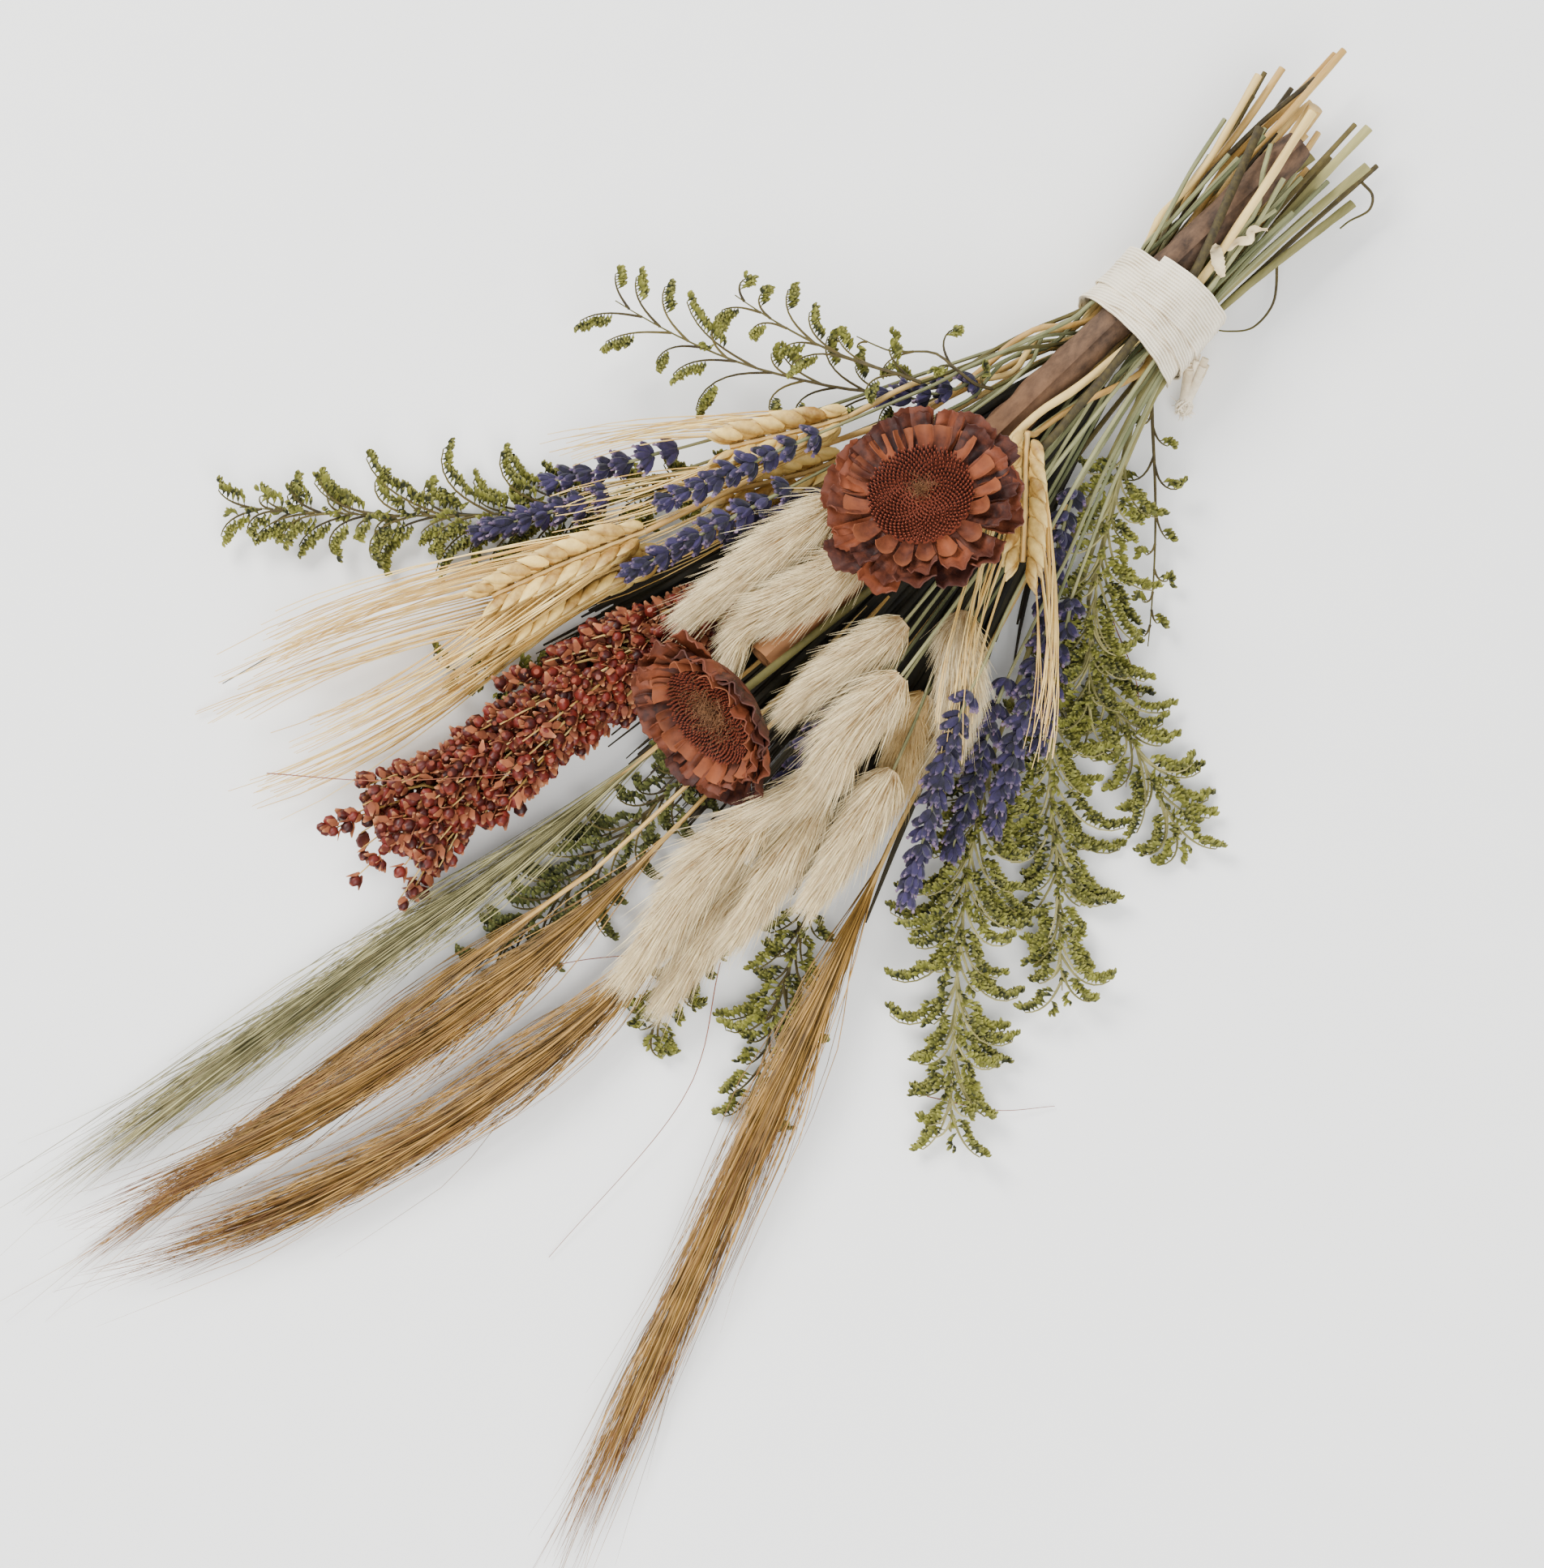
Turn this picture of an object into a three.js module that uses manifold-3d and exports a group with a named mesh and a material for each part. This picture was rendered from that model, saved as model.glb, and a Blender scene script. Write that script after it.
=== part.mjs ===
// A hand-tied bunch of dried flowers, lying on a table: lavender, bunny tails, bearded wheat, sorghum, brush
// grass, two sugarbush heads, sea lavender and a cinnamon stick, bound with cotton tape.
//
// Millimetres, +Z up. The origin is on the table under the middle of the tie. The flowers fan out towards -Y,
// the cut ends point to +Y. Every stem is one solid with its own head. Stems start on a planned route and are
// then settled: pushed apart, held inside the tie and kept on the table, so nothing passes through anything.
import * as THREE from "three";
import { mergeVertices } from "three/addons/utils/BufferGeometryUtils.js";
import Module from "manifold-3d";

const wasm = await Module();
wasm.setup();

// ---- Driving dimensions ----
const GAP = 0.6; // least air between two stems
const TIE = { length: 30, tape: 2.0, fill: 0.66, clearance: 0.5, sides: 12, waist: 9, flare: 0.13 };
const CINNAMON = { radius: 7.2, length: 254, sides: 12 };
const KNOT = { width: 9, thickness: 4, length: 17 };
const SUGARBUSH = { radius: 32, calyx: 13, neck: 6, face: 19, bracts: 17, lobe: 0.05, turns: 34 };
const STEM_STEP = 10; // spacing of the points that carry a stem's route
const HEAVY = 0.05; // how far a sugarbush moves aside, against 1 for any other stem
const STRAIGHT = 0.22; // a stem's route loses the points that lie this near its straight line

// ---- Outlines: the half-width of a head, as a share of its widest, at a share t of its length ----
const plume = (t) => Math.max(0.12, Math.pow(Math.sin(Math.PI * Math.pow(t * 0.94 + 0.03, 0.62)), 0.8));
const whorls = (count) => (t) => (0.62 + 0.38 * Math.cos(2 * Math.PI * count * t) * -1) * (1 - 0.45 * t * t);
const ear = (share) => (t) => {
  if (t > share) return THREE.MathUtils.lerp(0.95, 0.3, (t - share) / (1 - share));
  return 0.45 + 0.55 * Math.sin((Math.PI / 2) * Math.min(1, (t / share) * 1.8));
};
const brush = (t) => 0.2 + 0.8 * Math.pow(Math.sin(Math.PI * Math.min(0.5, 0.85 * t)), 0.8) - 0.5 * t * t;
const panicle = (t) => 0.25 + 0.75 * Math.pow(Math.sin(Math.PI * (0.08 + 0.84 * t)), 0.75);
const spray = (t) => 0.1 + 0.9 * Math.pow(Math.sin(Math.PI * Math.pow(t, 1.15) * 0.93), 1.1);
const disc = (t) => Math.sqrt(Math.max(0.03, 1 - Math.pow(2 * t - 1, 2)));

// ---- The kinds: stem radius, length below the tie, and the head's length and half sizes ----
const KINDS = {
  bunny_tail: {
    stem: 0.9, cut: 62, length: 50, wide: 8.2, high: 8.2,
    outline: plume, rings: 7, sides: 8, colour: 0xe8dcc2, rough: 0.95,
  },
  lavender: {
    stem: 1.0, cut: 66, length: 50, wide: 5.6, high: 5.2,
    outline: whorls(4), rings: 8, sides: 6, colour: 0x3d3a72, rough: 0.85,
  },
  wheat: {
    stem: 1.5, cut: 100, length: 120, wide: 7, high: 5.5,
    outline: ear(0.42), rings: 8, sides: 6, colour: 0xd9bd7a, rough: 0.6,
  },
  sorghum: {
    stem: 3.0, cut: 84, length: 172, wide: 24, high: 14,
    outline: panicle, rings: 9, sides: 8, colour: 0x8a3a24, rough: 0.6,
  },
  brush_grass: {
    stem: 1.3, cut: 78, length: 260, wide: 14, high: 6,
    outline: brush, rings: 9, sides: 6, colour: 0x9c7b3c, rough: 0.55,
  },
  sea_lavender: {
    stem: 1.4, cut: 88, length: 120, wide: 22, high: 5.5,
    outline: spray, rings: 7, sides: 6, colour: 0x747c3a, rough: 0.85,
  },
  sugarbush: {
    stem: 2.6, cut: 80, length: 64, wide: 33, high: 12,
    outline: disc, rings: 6, sides: 8, colour: 0x8e4a2a, rough: 0.75,
  },
};

// ---- The plan. Angles in degrees from -Y towards +X. Fan and reach place the foot of the head as seen from
// above, lift is its height, heading is the way the head points there, turn is how far it swings along its
// length and drop how far it sinks. Size scales a head's length, girth its half sizes. ----
const PLAN = {
  sea_lavender: [
    { fan: -24, reach: 72, lift: 28, heading: -48, turn: -40, drop: 4, size: 1.04, girth: 0.9 },
    { fan: -28, reach: 80, lift: 40, heading: -64, turn: -26, drop: 4, size: 0.62, girth: 0.6 },
    { fan: -17, reach: 62, lift: 36, heading: -70, turn: -12, drop: 2, size: 0.44, girth: 0.4 },
    { fan: -28, reach: 140, lift: 13, heading: -36, turn: -22, drop: 6, size: 1.5, girth: 1.0 },
    { fan: 40, reach: 24, lift: 12, heading: 46, turn: -14, drop: 7, size: 0.74, girth: 0.32 },
    { fan: 30, reach: 44, lift: 14, heading: 20, turn: 22, drop: 7, size: 0.84, girth: 0.75 },
    { fan: 26, reach: 96, lift: 10, heading: 44, turn: 36, drop: 5, size: 0.76, girth: 0.85 },
    { fan: 20, reach: 150, lift: 12, heading: 27, turn: 12, drop: 6, size: 1.15, girth: 1.15 },
    { fan: 10, reach: 226, lift: 8, heading: 22, turn: 4, drop: 4, size: 0.6, girth: 0.6 },
    { fan: 5, reach: 242, lift: 7, heading: 4, turn: 8, drop: 3, size: 0.45, girth: 0.45 },
    { fan: -5, reach: 196, lift: 8, heading: -5, turn: -2, drop: 3, size: 0.95, girth: 0.9 },
    { fan: -17, reach: 232, lift: 10, heading: -58, turn: -10, drop: 4, size: 0.36, girth: 0.36 },
    { fan: 26, reach: 120, lift: 12, heading: 32, turn: 14, drop: 5, size: 0.95, girth: 0.9 },
  ],
  brush_grass: [
    { fan: -8, reach: 205, lift: 14, heading: -12, turn: -3, drop: 11, size: 1.08, girth: 1.0 },
    { fan: -4, reach: 258, lift: 12, heading: -13, turn: 1, drop: 10, size: 0.9, girth: 0.4 },
    { fan: -2, reach: 226, lift: 15, heading: -3, turn: -24, drop: 11, size: 0.95, girth: 0.95 },
    { fan: 4, reach: 236, lift: 15, heading: 1, turn: -38, drop: 11, size: 0.98, girth: 1.0 },
    { fan: 14, reach: 190, lift: 16, heading: 16, turn: -2, drop: 13, size: 1.06, girth: 1.1 },
  ],
  wheat: [
    { fan: -27, reach: 108, lift: 40, heading: -40, turn: 3, drop: 14, size: 0.8, girth: 1.0 },
    { fan: -23, reach: 114, lift: 28, heading: -36, turn: 2, drop: 10, size: 0.78, girth: 1.0 },
    { fan: -22, reach: 178, lift: 22, heading: -26, turn: -1, drop: 14, size: 1.3, girth: 1.0 },
    { fan: -25, reach: 182, lift: 30, heading: -29, turn: 4, drop: 15, size: 1.1, girth: 0.9 },
    { fan: -4, reach: 63, lift: 52, heading: 42, turn: -14, drop: 10, size: 0.9, girth: 1.0 },
  ],
  sorghum: [{ fan: -14, reach: 150, lift: 26, heading: -19, turn: 10, drop: 11, size: 1.0, girth: 1.0 }],
  lavender: [
    { fan: -33, reach: 166, lift: 26, heading: -39, turn: 0, drop: 10, size: 0.86, girth: 0.9 },
    { fan: -31, reach: 192, lift: 20, heading: -36, turn: 0, drop: 8, size: 0.9, girth: 0.85 },
    { fan: -26, reach: 122, lift: 48, heading: -28, turn: 0, drop: 10, size: 1.12, girth: 1.0 },
    { fan: -21, reach: 138, lift: 44, heading: -24, turn: 0, drop: 12, size: 1.2, girth: 1.05 },
    { fan: -18, reach: 120, lift: 34, heading: -26, turn: 0, drop: 4, size: 0.85, girth: 1.0 },
    { fan: 3, reach: 174, lift: 36, heading: 6, turn: 0, drop: 6, size: 0.84, girth: 1.0 },
    { fan: 15, reach: 150, lift: 46, heading: 24, turn: 0, drop: 16, size: 1.45, girth: 1.05 },
    { fan: 19, reach: 138, lift: 32, heading: 22, turn: 0, drop: 12, size: 1.2, girth: 1.0 },
    { fan: 22, reach: 122, lift: 40, heading: 25, turn: 0, drop: 16, size: 1.3, girth: 1.05 },
    { fan: 17, reach: 70, lift: 30, heading: 28, turn: 0, drop: 6, size: 0.9, girth: 0.8 },
    { fan: 24, reach: 104, lift: 24, heading: 28, turn: 0, drop: 6, size: 1.0, girth: 0.95 },
    { fan: -25, reach: 66, lift: 36, heading: -42, turn: 0, drop: 4, size: 0.6, girth: 0.7 },
  ],
  bunny_tail: [
    { fan: -15, reach: 126, lift: 48, heading: -14, turn: 0, drop: 8, size: 1.2, girth: 1.0 },
    { fan: -7, reach: 133, lift: 46, heading: -11, turn: 0, drop: 10, size: 1.0, girth: 1.05 },
    { fan: 4, reach: 141, lift: 47, heading: -16, turn: 0, drop: 8, size: 0.95, girth: 1.0 },
    { fan: 9, reach: 126, lift: 38, heading: 32, turn: 0, drop: 6, size: 1.0, girth: 1.15 },
    { fan: 8, reach: 158, lift: 56, heading: -7, turn: 0, drop: 13, size: 1.2, girth: 1.1 },
    { fan: 12, reach: 152, lift: 33, heading: 12, turn: 0, drop: 4, size: 0.92, girth: 1.0 },
    { fan: 12, reach: 184, lift: 40, heading: 6, turn: 0, drop: 10, size: 0.95, girth: 1.0 },
    { fan: 7, reach: 200, lift: 32, heading: 3, turn: 0, drop: 8, size: 1.08, girth: 1.0 },
    { fan: 3, reach: 214, lift: 36, heading: 1, turn: 0, drop: 14, size: 1.35, girth: 1.05 },
    { fan: 5, reach: 232, lift: 24, heading: 6, turn: 0, drop: 10, size: 1.0, girth: 0.9 },
  ],
  sugarbush: [
    { fan: -6, reach: 77, lift: 66, heading: -3, turn: 0, drop: 0, size: 1.0, girth: 1.0, lean: 14 },
    { fan: -5, reach: 190, lift: 76, heading: -8, turn: 0, drop: 56, size: 0.3, girth: 1.0, lean: 4 },
  ],
};

const heading = (degrees) => {
  const a = THREE.MathUtils.degToRad(degrees);
  return new THREE.Vector3(Math.sin(a), -Math.cos(a), 0);
};
const UP = new THREE.Vector3(0, 0, 1);

// ---- Routes ----

// The tie's inner radius follows from the stems that it holds.
const held = Object.entries(PLAN).flatMap(([kind, rows]) => rows.map(() => KINDS[kind].stem + GAP / 2));
held.push(CINNAMON.radius + GAP / 2);
const tieRadius = Math.sqrt(held.reduce((sum, r) => sum + r * r, 0) / TIE.fill);

// The tie is narrowest at its waist, near the cut ends, and lies on the table all along.
const tieRadiusAt = (y) => tieRadius + TIE.flare * Math.abs(y - TIE.waist);
const tieLiftAt = (y) => tieRadiusAt(y) + TIE.clearance + TIE.tape;

// The points of a head: an arc that starts at foot, swings by turn and sinks by drop.
function headArc(foot, row, length, count) {
  const points = [foot.clone()];
  for (let i = 1; i <= count; i++) {
    const middle = (i - 0.5) / count;
    const step = heading(row.heading + row.turn * middle).multiplyScalar(length / count);
    step.z = -row.drop / count;
    points.push(points[i - 1].clone().add(step));
  }
  return points;
}

// The way that a sugarbush head faces, from the way that its middle runs.
function faceOf(along, lean) {
  const level = along.clone().cross(UP).normalize();
  return level.clone().cross(along).applyAxisAngle(along, THREE.MathUtils.degToRad(lean));
}

// Where a stem meets its head: at the head's foot, or behind the middle of a sugarbush.
function joint(row, head) {
  if (!("lean" in row)) return head[0];
  const middle = head.length >> 1;
  const along = head[middle + 1].clone().sub(head[middle - 1]).normalize();
  return head[middle].clone().addScaledVector(faceOf(along, row.lean), -SUGARBUSH.calyx - SUGARBUSH.neck);
}

// One stem with its head: the points that carry it, the half sizes there, and where the plan wants them.
function strand(kindName, index, row) {
  const kind = KINDS[kindName];
  const length = kind.length * row.size;
  const foot = heading(row.fan).multiplyScalar(row.reach).setZ(row.lift);
  const head = headArc(foot, row, length, kind.rings);
  const side = row.fan / 40;
  const rise = (row.lift - 25) / 40;
  const ragged = 1 + 0.14 * Math.sin(2.4 * index + kindName.length);
  const cut = new THREE.Vector3(
    tieRadius * 1.45 * side + 8 * Math.sin(1.7 * index + kindName.length),
    kind.cut * ragged,
    Math.max(kind.stem, tieLiftAt(0) + tieRadius * 0.9 * rise + 4 * Math.cos(2.1 * index)),
  );
  const slotLift = tieLiftAt(TIE.waist) + tieRadius * 0.75 * rise;
  const slot = new THREE.Vector3(tieRadius * 0.8 * side, TIE.waist, slotLift);
  const end = joint(row, head);
  const stem = new THREE.CatmullRomCurve3([cut, slot, end, head[1]]);
  const stemLength = stem.getLength() - end.distanceTo(head[1]);
  const count = Math.ceil(stemLength / STEM_STEP);
  const points = [];
  const half = [];
  for (let i = 0; i < count; i++) {
    points.push(stem.getPointAt((i / count) * (stemLength / stem.getLength())));
    half.push([kind.stem, kind.stem]);
  }
  head.forEach((point, i) => {
    const share = kind.outline(i / kind.rings) * row.girth;
    const thick = kind.high * Math.min(1, share + 0.15);
    points.push(point);
    half.push([Math.max(kind.stem, kind.wide * share), Math.max(kind.stem, thick)]);
  });
  half[half.length - 1] = half[half.length - 1].map((h) => h * 0.7);
  const name = kindName + "_" + (index + 1);
  const aim = points.map((p) => p.clone());
  return { name, kind, row, points, half, aim, headAt: count, weight: "lean" in row ? HEAVY : 1 };
}

// The cinnamon stick is straight and lies on top of the stems, so it stays where it is put.
function cinnamonStick() {
  const top = tieLiftAt(TIE.waist) + tieRadius - CINNAMON.radius - GAP;
  const cut = new THREE.Vector3(1, 77, top - 1);
  const way = heading(-5).setZ(0.02).normalize();
  const count = Math.round(CINNAMON.length / (2 * STEM_STEP));
  const points = Array.from({ length: count + 1 }, (_, i) =>
    cut.clone().addScaledVector(way, (CINNAMON.length * i) / count),
  );
  const half = points.map(() => [CINNAMON.radius, CINNAMON.radius]);
  const kind = { sides: CINNAMON.sides, colour: 0x7a4a30, rough: 0.85 };
  return { name: "cinnamon_stick", kind, row: {}, points, half, aim: points, headAt: 0, weight: 0 };
}

// ---- Settling ----

// The share along segment a-b that lies nearest to point p.
function project(p, a, b) {
  const along = b.clone().sub(a);
  return THREE.MathUtils.clamp(p.clone().sub(a).dot(along) / along.lengthSq(), 0, 1);
}

// The pairs of shares at which segments p0-p1 and q0-q1 may touch: where they come nearest, and at each end.
function meetings(p0, p1, q0, q1) {
  const u = p1.clone().sub(p0);
  const v = q1.clone().sub(q0);
  const w = p0.clone().sub(q0);
  const a = u.dot(u), b = u.dot(v), c = v.dot(v), d = u.dot(w), e = v.dot(w);
  const wide = a * c - b * b;
  const s = wide > 1e-6 ? THREE.MathUtils.clamp((b * e - c * d) / wide, 0, 1) : 0.5;
  const t = THREE.MathUtils.clamp((b * s + e) / c, 0, 1);
  return [
    [THREE.MathUtils.clamp((b * t - d) / a, 0, 1), t],
    [0, project(p0, q0, q1)],
    [1, project(p1, q0, q1)],
    [project(q0, p0, p1), 0],
    [project(q1, p0, p1), 1],
  ];
}

// How segment i of one lies against segment j of two, at shares s and t: inside is 1 where their ovals touch.
function contact(one, i, two, j, [s, t]) {
  const d = one.points[i].clone().lerp(one.points[i + 1], s);
  d.sub(two.points[j].clone().lerp(two.points[j + 1], t));
  const [wide, high] = [0, 1].map((k) =>
    THREE.MathUtils.lerp(one.half[i][k], one.half[i + 1][k], s)
    + THREE.MathUtils.lerp(two.half[j][k], two.half[j + 1][k], t) + GAP);
  const inside = (d.x * d.x + d.y * d.y) / (wide * wide) + (d.z * d.z) / (high * high);
  return { s, t, d, wide, high, inside };
}

// Pushes two segments apart where their oval sections overlap.
function part(one, i, two, j) {
  const places = meetings(one.points[i], one.points[i + 1], two.points[j], two.points[j + 1]);
  const found = places.map((place) => contact(one, i, two, j, place));
  const { s, t, d, wide, high, inside } = found.reduce((a, b) => (b.inside < a.inside ? b : a));
  if (inside >= 1) return 0;
  const slope = new THREE.Vector3(d.x / (wide * wide), d.y / (wide * wide), d.z / (high * high));
  if (slope.lengthSq() < 1e-8) slope.set(0, 0, 1 / high);
  const push = slope.multiplyScalar(Math.min((1 - inside) / (2 * slope.lengthSq()), 3 / slope.length()));
  const total = one.weight + two.weight;
  const shift = (strand, at, share, sign) => {
    const lever = (sign * strand.weight) / total / ((1 - share) ** 2 + share ** 2);
    strand.points[at].addScaledVector(push, lever * (1 - share));
    strand.points[at + 1].addScaledVector(push, lever * share);
  };
  shift(one, i, s, 1);
  shift(two, j, t, -1);
  return 1 - inside;
}

const near = (a, b, reach) =>
  Math.abs(a.y - b.y) < reach && Math.abs(a.x - b.x) < reach && Math.abs(a.z - b.z) < reach;

function partAll(strands) {
  let worst = 0;
  strands.forEach((one, n) => {
    for (const two of strands.slice(n + 1)) {
      for (let i = 0; i + 1 < one.points.length; i++) {
        for (let j = 0; j + 1 < two.points.length; j++) {
          if (near(one.points[i], two.points[j], one.reach[i] + two.reach[j])) {
            worst = Math.max(worst, part(one, i, two, j));
          }
        }
      }
    }
  });
  return worst;
}

// Keeps a strand on the table and, where it passes the tie, inside it.
function contain(strand) {
  strand.points.forEach((p, i) => {
    const [, high] = strand.half[i];
    if (Math.abs(p.y) < TIE.length / 2 + STEM_STEP && strand.weight > 0) {
      const lift = tieLiftAt(p.y);
      const out = new THREE.Vector3(p.x, 0, p.z - lift).clampLength(0, tieRadiusAt(p.y) - high);
      p.x = out.x;
      p.z = out.z + lift;
    }
    p.z = Math.max(p.z, high);
  });
}

function settle(strands, rounds, closing) {
  for (const s of strands) {
    const widest = (i) => Math.max(s.half[i][0], s.half[i + 1][0]);
    s.reach = s.points.slice(1).map((p, i) => p.distanceTo(s.points[i]) + widest(i) + 2);
  }
  for (let round = 0; round < rounds + closing; round++) {
    const free = round < rounds;
    const easing = 1 - round / rounds;
    for (const s of strands) {
      if (s.weight === 0) continue;
      for (let i = 1; free && i + 1 < s.points.length; i++) {
        if (s.weight === HEAVY && i === s.headAt - 1) continue;
        const middle = s.points[i - 1].clone().add(s.points[i + 1]).multiplyScalar(0.5);
        s.points[i].lerp(middle, (i < s.headAt ? 0.4 : 0.1) * easing);
      }
      s.points.forEach((p, i) => free && p.lerp(s.aim[i], (i < s.headAt ? 0.01 : 0.08) * easing));
    }
    const worst = partAll(strands);
    strands.forEach(contain);
    if (!free && worst < 0.01) break;
  }
}

// ---- Solids ----

// The points a route needs: ends, bends, and every point of the head.
function keepers(strand) {
  const first = Math.max(1, strand.headAt);
  const keep = new Set([0, first - 1, strand.points.length - 1]);
  for (let i = first; i < strand.points.length; i++) if (strand.weight > 0) keep.add(i);
  const split = (a, b) => {
    const line = new THREE.Line3(strand.points[a], strand.points[b]);
    let worst = STRAIGHT;
    let at = -1;
    for (let i = a + 1; i < b; i++) {
      const straight = line.closestPointToPoint(strand.points[i], true, new THREE.Vector3());
      const off = straight.distanceTo(strand.points[i]);
      if (off > worst) [worst, at] = [off, i];
    }
    if (at < 0) return;
    keep.add(at);
    split(a, at);
    split(at, b);
  };
  split(0, first - 1);
  return [...keep].sort((a, b) => a - b);
}

// A closed skin over rings of equally many points, each end closed by a fan from its first point.
function skin(rings) {
  const sides = rings[0].length;
  const position = rings.flat().flatMap((p) => p.toArray());
  const index = [];
  for (let r = 0; r + 1 < rings.length; r++) {
    for (let k = 0; k < sides; k++) {
      const a = r * sides + k, b = r * sides + ((k + 1) % sides);
      index.push(a, b, b + sides, a, b + sides, a + sides);
    }
  }
  const last = (rings.length - 1) * sides;
  for (let k = 1; k + 1 < sides; k++) index.push(0, k + 1, k, last, last + k, last + k + 1);
  const geometry = new THREE.BufferGeometry().setIndex(index);
  return geometry.setAttribute("position", new THREE.Float32BufferAttribute(position, 3));
}

// The way a route runs at point i, and the level and upright directions across it.
function across(points, i) {
  const before = points[Math.max(0, i - 1)];
  const after = points[Math.min(points.length - 1, i + 1)];
  const along = after.clone().sub(before).normalize();
  const level = along.clone().cross(UP).normalize();
  return { along, level, upright: level.clone().cross(along) };
}

function ring(centre, level, upright, [wide, high], sides) {
  return Array.from({ length: sides }, (_, k) => {
    const a = (2 * Math.PI * (k + 0.5)) / sides;
    const p = centre.clone().addScaledVector(level, -wide * Math.cos(a));
    p.addScaledVector(upright, high * Math.sin(a));
    return p.setZ(Math.max(p.z, 0));
  });
}

function loft(strand, last = strand.points.length) {
  const at = keepers(strand).filter((i) => i < last);
  return skin(at.map((i) => {
    const { level, upright } = across(strand.points, i);
    return ring(strand.points[i], level, upright, strand.half[i], strand.kind.sides);
  }));
}

const solid = (geometry) => {
  const bare = geometry.clone();
  for (const name of ["normal", "uv"]) bare.deleteAttribute(name);
  const merged = mergeVertices(bare, 1e-3);
  const vertProperties = merged.attributes.position.array;
  const triVerts = new Uint32Array(merged.index.array);
  return new wasm.Manifold(new wasm.Mesh({ numProp: 3, vertProperties, triVerts }));
};

const geometryOf = (manifold) => {
  const { vertProperties, triVerts } = manifold.getMesh();
  const geometry = new THREE.BufferGeometry().setIndex(new THREE.BufferAttribute(triVerts, 1));
  return geometry.setAttribute("position", new THREE.BufferAttribute(vertProperties, 3));
};

// A sugarbush head: a cone of bracts round a flat seed face, with a lobed rim.
function sugarbushHead(girth) {
  const r = SUGARBUSH.radius * girth;
  const cone = [[0, -SUGARBUSH.calyx], [6, -SUGARBUSH.calyx], [0.7 * r, -3], [r, 5]];
  const bowl = [[r - 1.5, 8], [SUGARBUSH.face, 3], [0, 3]];
  const outline = [...cone, ...bowl].map(([x, y]) => new THREE.Vector2(x, y));
  const geometry = new THREE.LatheGeometry(outline, SUGARBUSH.turns);
  const position = geometry.attributes.position;
  for (let i = 0; i < position.count; i++) {
    const p = new THREE.Vector3().fromBufferAttribute(position, i);
    const round = Math.hypot(p.x, p.z);
    if (round <= SUGARBUSH.face) continue;
    const lobe = 1 + SUGARBUSH.lobe * Math.cos(SUGARBUSH.bracts * Math.atan2(p.x, p.z));
    position.setXYZ(i, p.x * lobe, p.y, p.z * lobe);
  }
  return geometry;
}

function sugarbush(strand) {
  const middle = strand.headAt + strand.kind.rings / 2;
  const centre = strand.points[middle];
  const face = faceOf(across(strand.points, middle).along, strand.row.lean);
  const turn = new THREE.Quaternion().setFromUnitVectors(new THREE.Vector3(0, 1, 0), face);
  const head = sugarbushHead(strand.row.girth).applyQuaternion(turn).translate(...centre.toArray());
  const stalk = { ...strand, points: strand.points.slice(0, strand.headAt), half: strand.half };
  stalk.points.push(centre.clone().addScaledVector(face, -SUGARBUSH.calyx / 2));
  return geometryOf(solid(head).add(solid(loft(stalk))));
}

// ---- The tie: a collar of tape that fits the settled stems, flat where it lies on the table ----

// How far the stems reach in direction (x, z) at height y along the bunch.
function reachAt(strands, y, x, z) {
  let most = -Infinity;
  for (const s of strands) {
    for (let i = 0; i + 1 < s.points.length; i++) {
      const [a, b] = [s.points[i], s.points[i + 1]];
      if ((a.y - y) * (b.y - y) > 0 || a.y === b.y) continue;
      const p = a.clone().lerp(b, (y - a.y) / (b.y - a.y));
      const slant = a.distanceTo(b) / Math.abs(b.y - a.y);
      most = Math.max(most, p.x * x + p.z * z + s.half[i][1] * slant);
    }
  }
  return most;
}

// The corners where neighbouring support lines of the bundle cross, offset outwards. The lowest three lines
// keep to the tie's planned round, so that the tape lies flat on the table.
function collarRing(strands, y, offset) {
  const lines = Array.from({ length: TIE.sides }, (_, k) => {
    const a = (2 * Math.PI * k) / TIE.sides - Math.PI / 2;
    const [x, z] = [Math.cos(a), Math.sin(a)];
    const planned = tieLiftAt(y) * z + tieRadiusAt(y);
    const reach = z < -0.8 ? planned : reachAt(strands, y, x, z);
    return { x, z, far: reach + TIE.clearance + offset };
  });
  return lines.map((one, k) => {
    const two = lines[(k + 1) % lines.length];
    const wide = one.x * two.z - one.z * two.x;
    const x = (one.far * two.z - two.far * one.z) / wide;
    return new THREE.Vector3(x, y, (one.x * two.far - two.x * one.far) / wide);
  });
}

function collar(strands) {
  const levels = [0.5, 0, -0.5].map((share) => share * TIE.length);
  const outside = levels.map((y) => collarRing(strands, y, TIE.tape));
  const inside = levels.map((y) => collarRing(strands, y, 0));
  const rings = [...outside, ...inside.reverse()];
  const sides = TIE.sides;
  const position = rings.flat().flatMap((p) => p.toArray());
  const index = [];
  rings.forEach((_, r) => {
    for (let k = 0; k < sides; k++) {
      const a = r * sides + k, b = r * sides + ((k + 1) % sides);
      const c = ((r + 1) % rings.length) * sides;
      index.push(a, b, c + ((k + 1) % sides), a, c + ((k + 1) % sides), c + k);
    }
  });
  const geometry = new THREE.BufferGeometry().setIndex(index);
  return geometry.setAttribute("position", new THREE.Float32BufferAttribute(position, 3));
}

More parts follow.
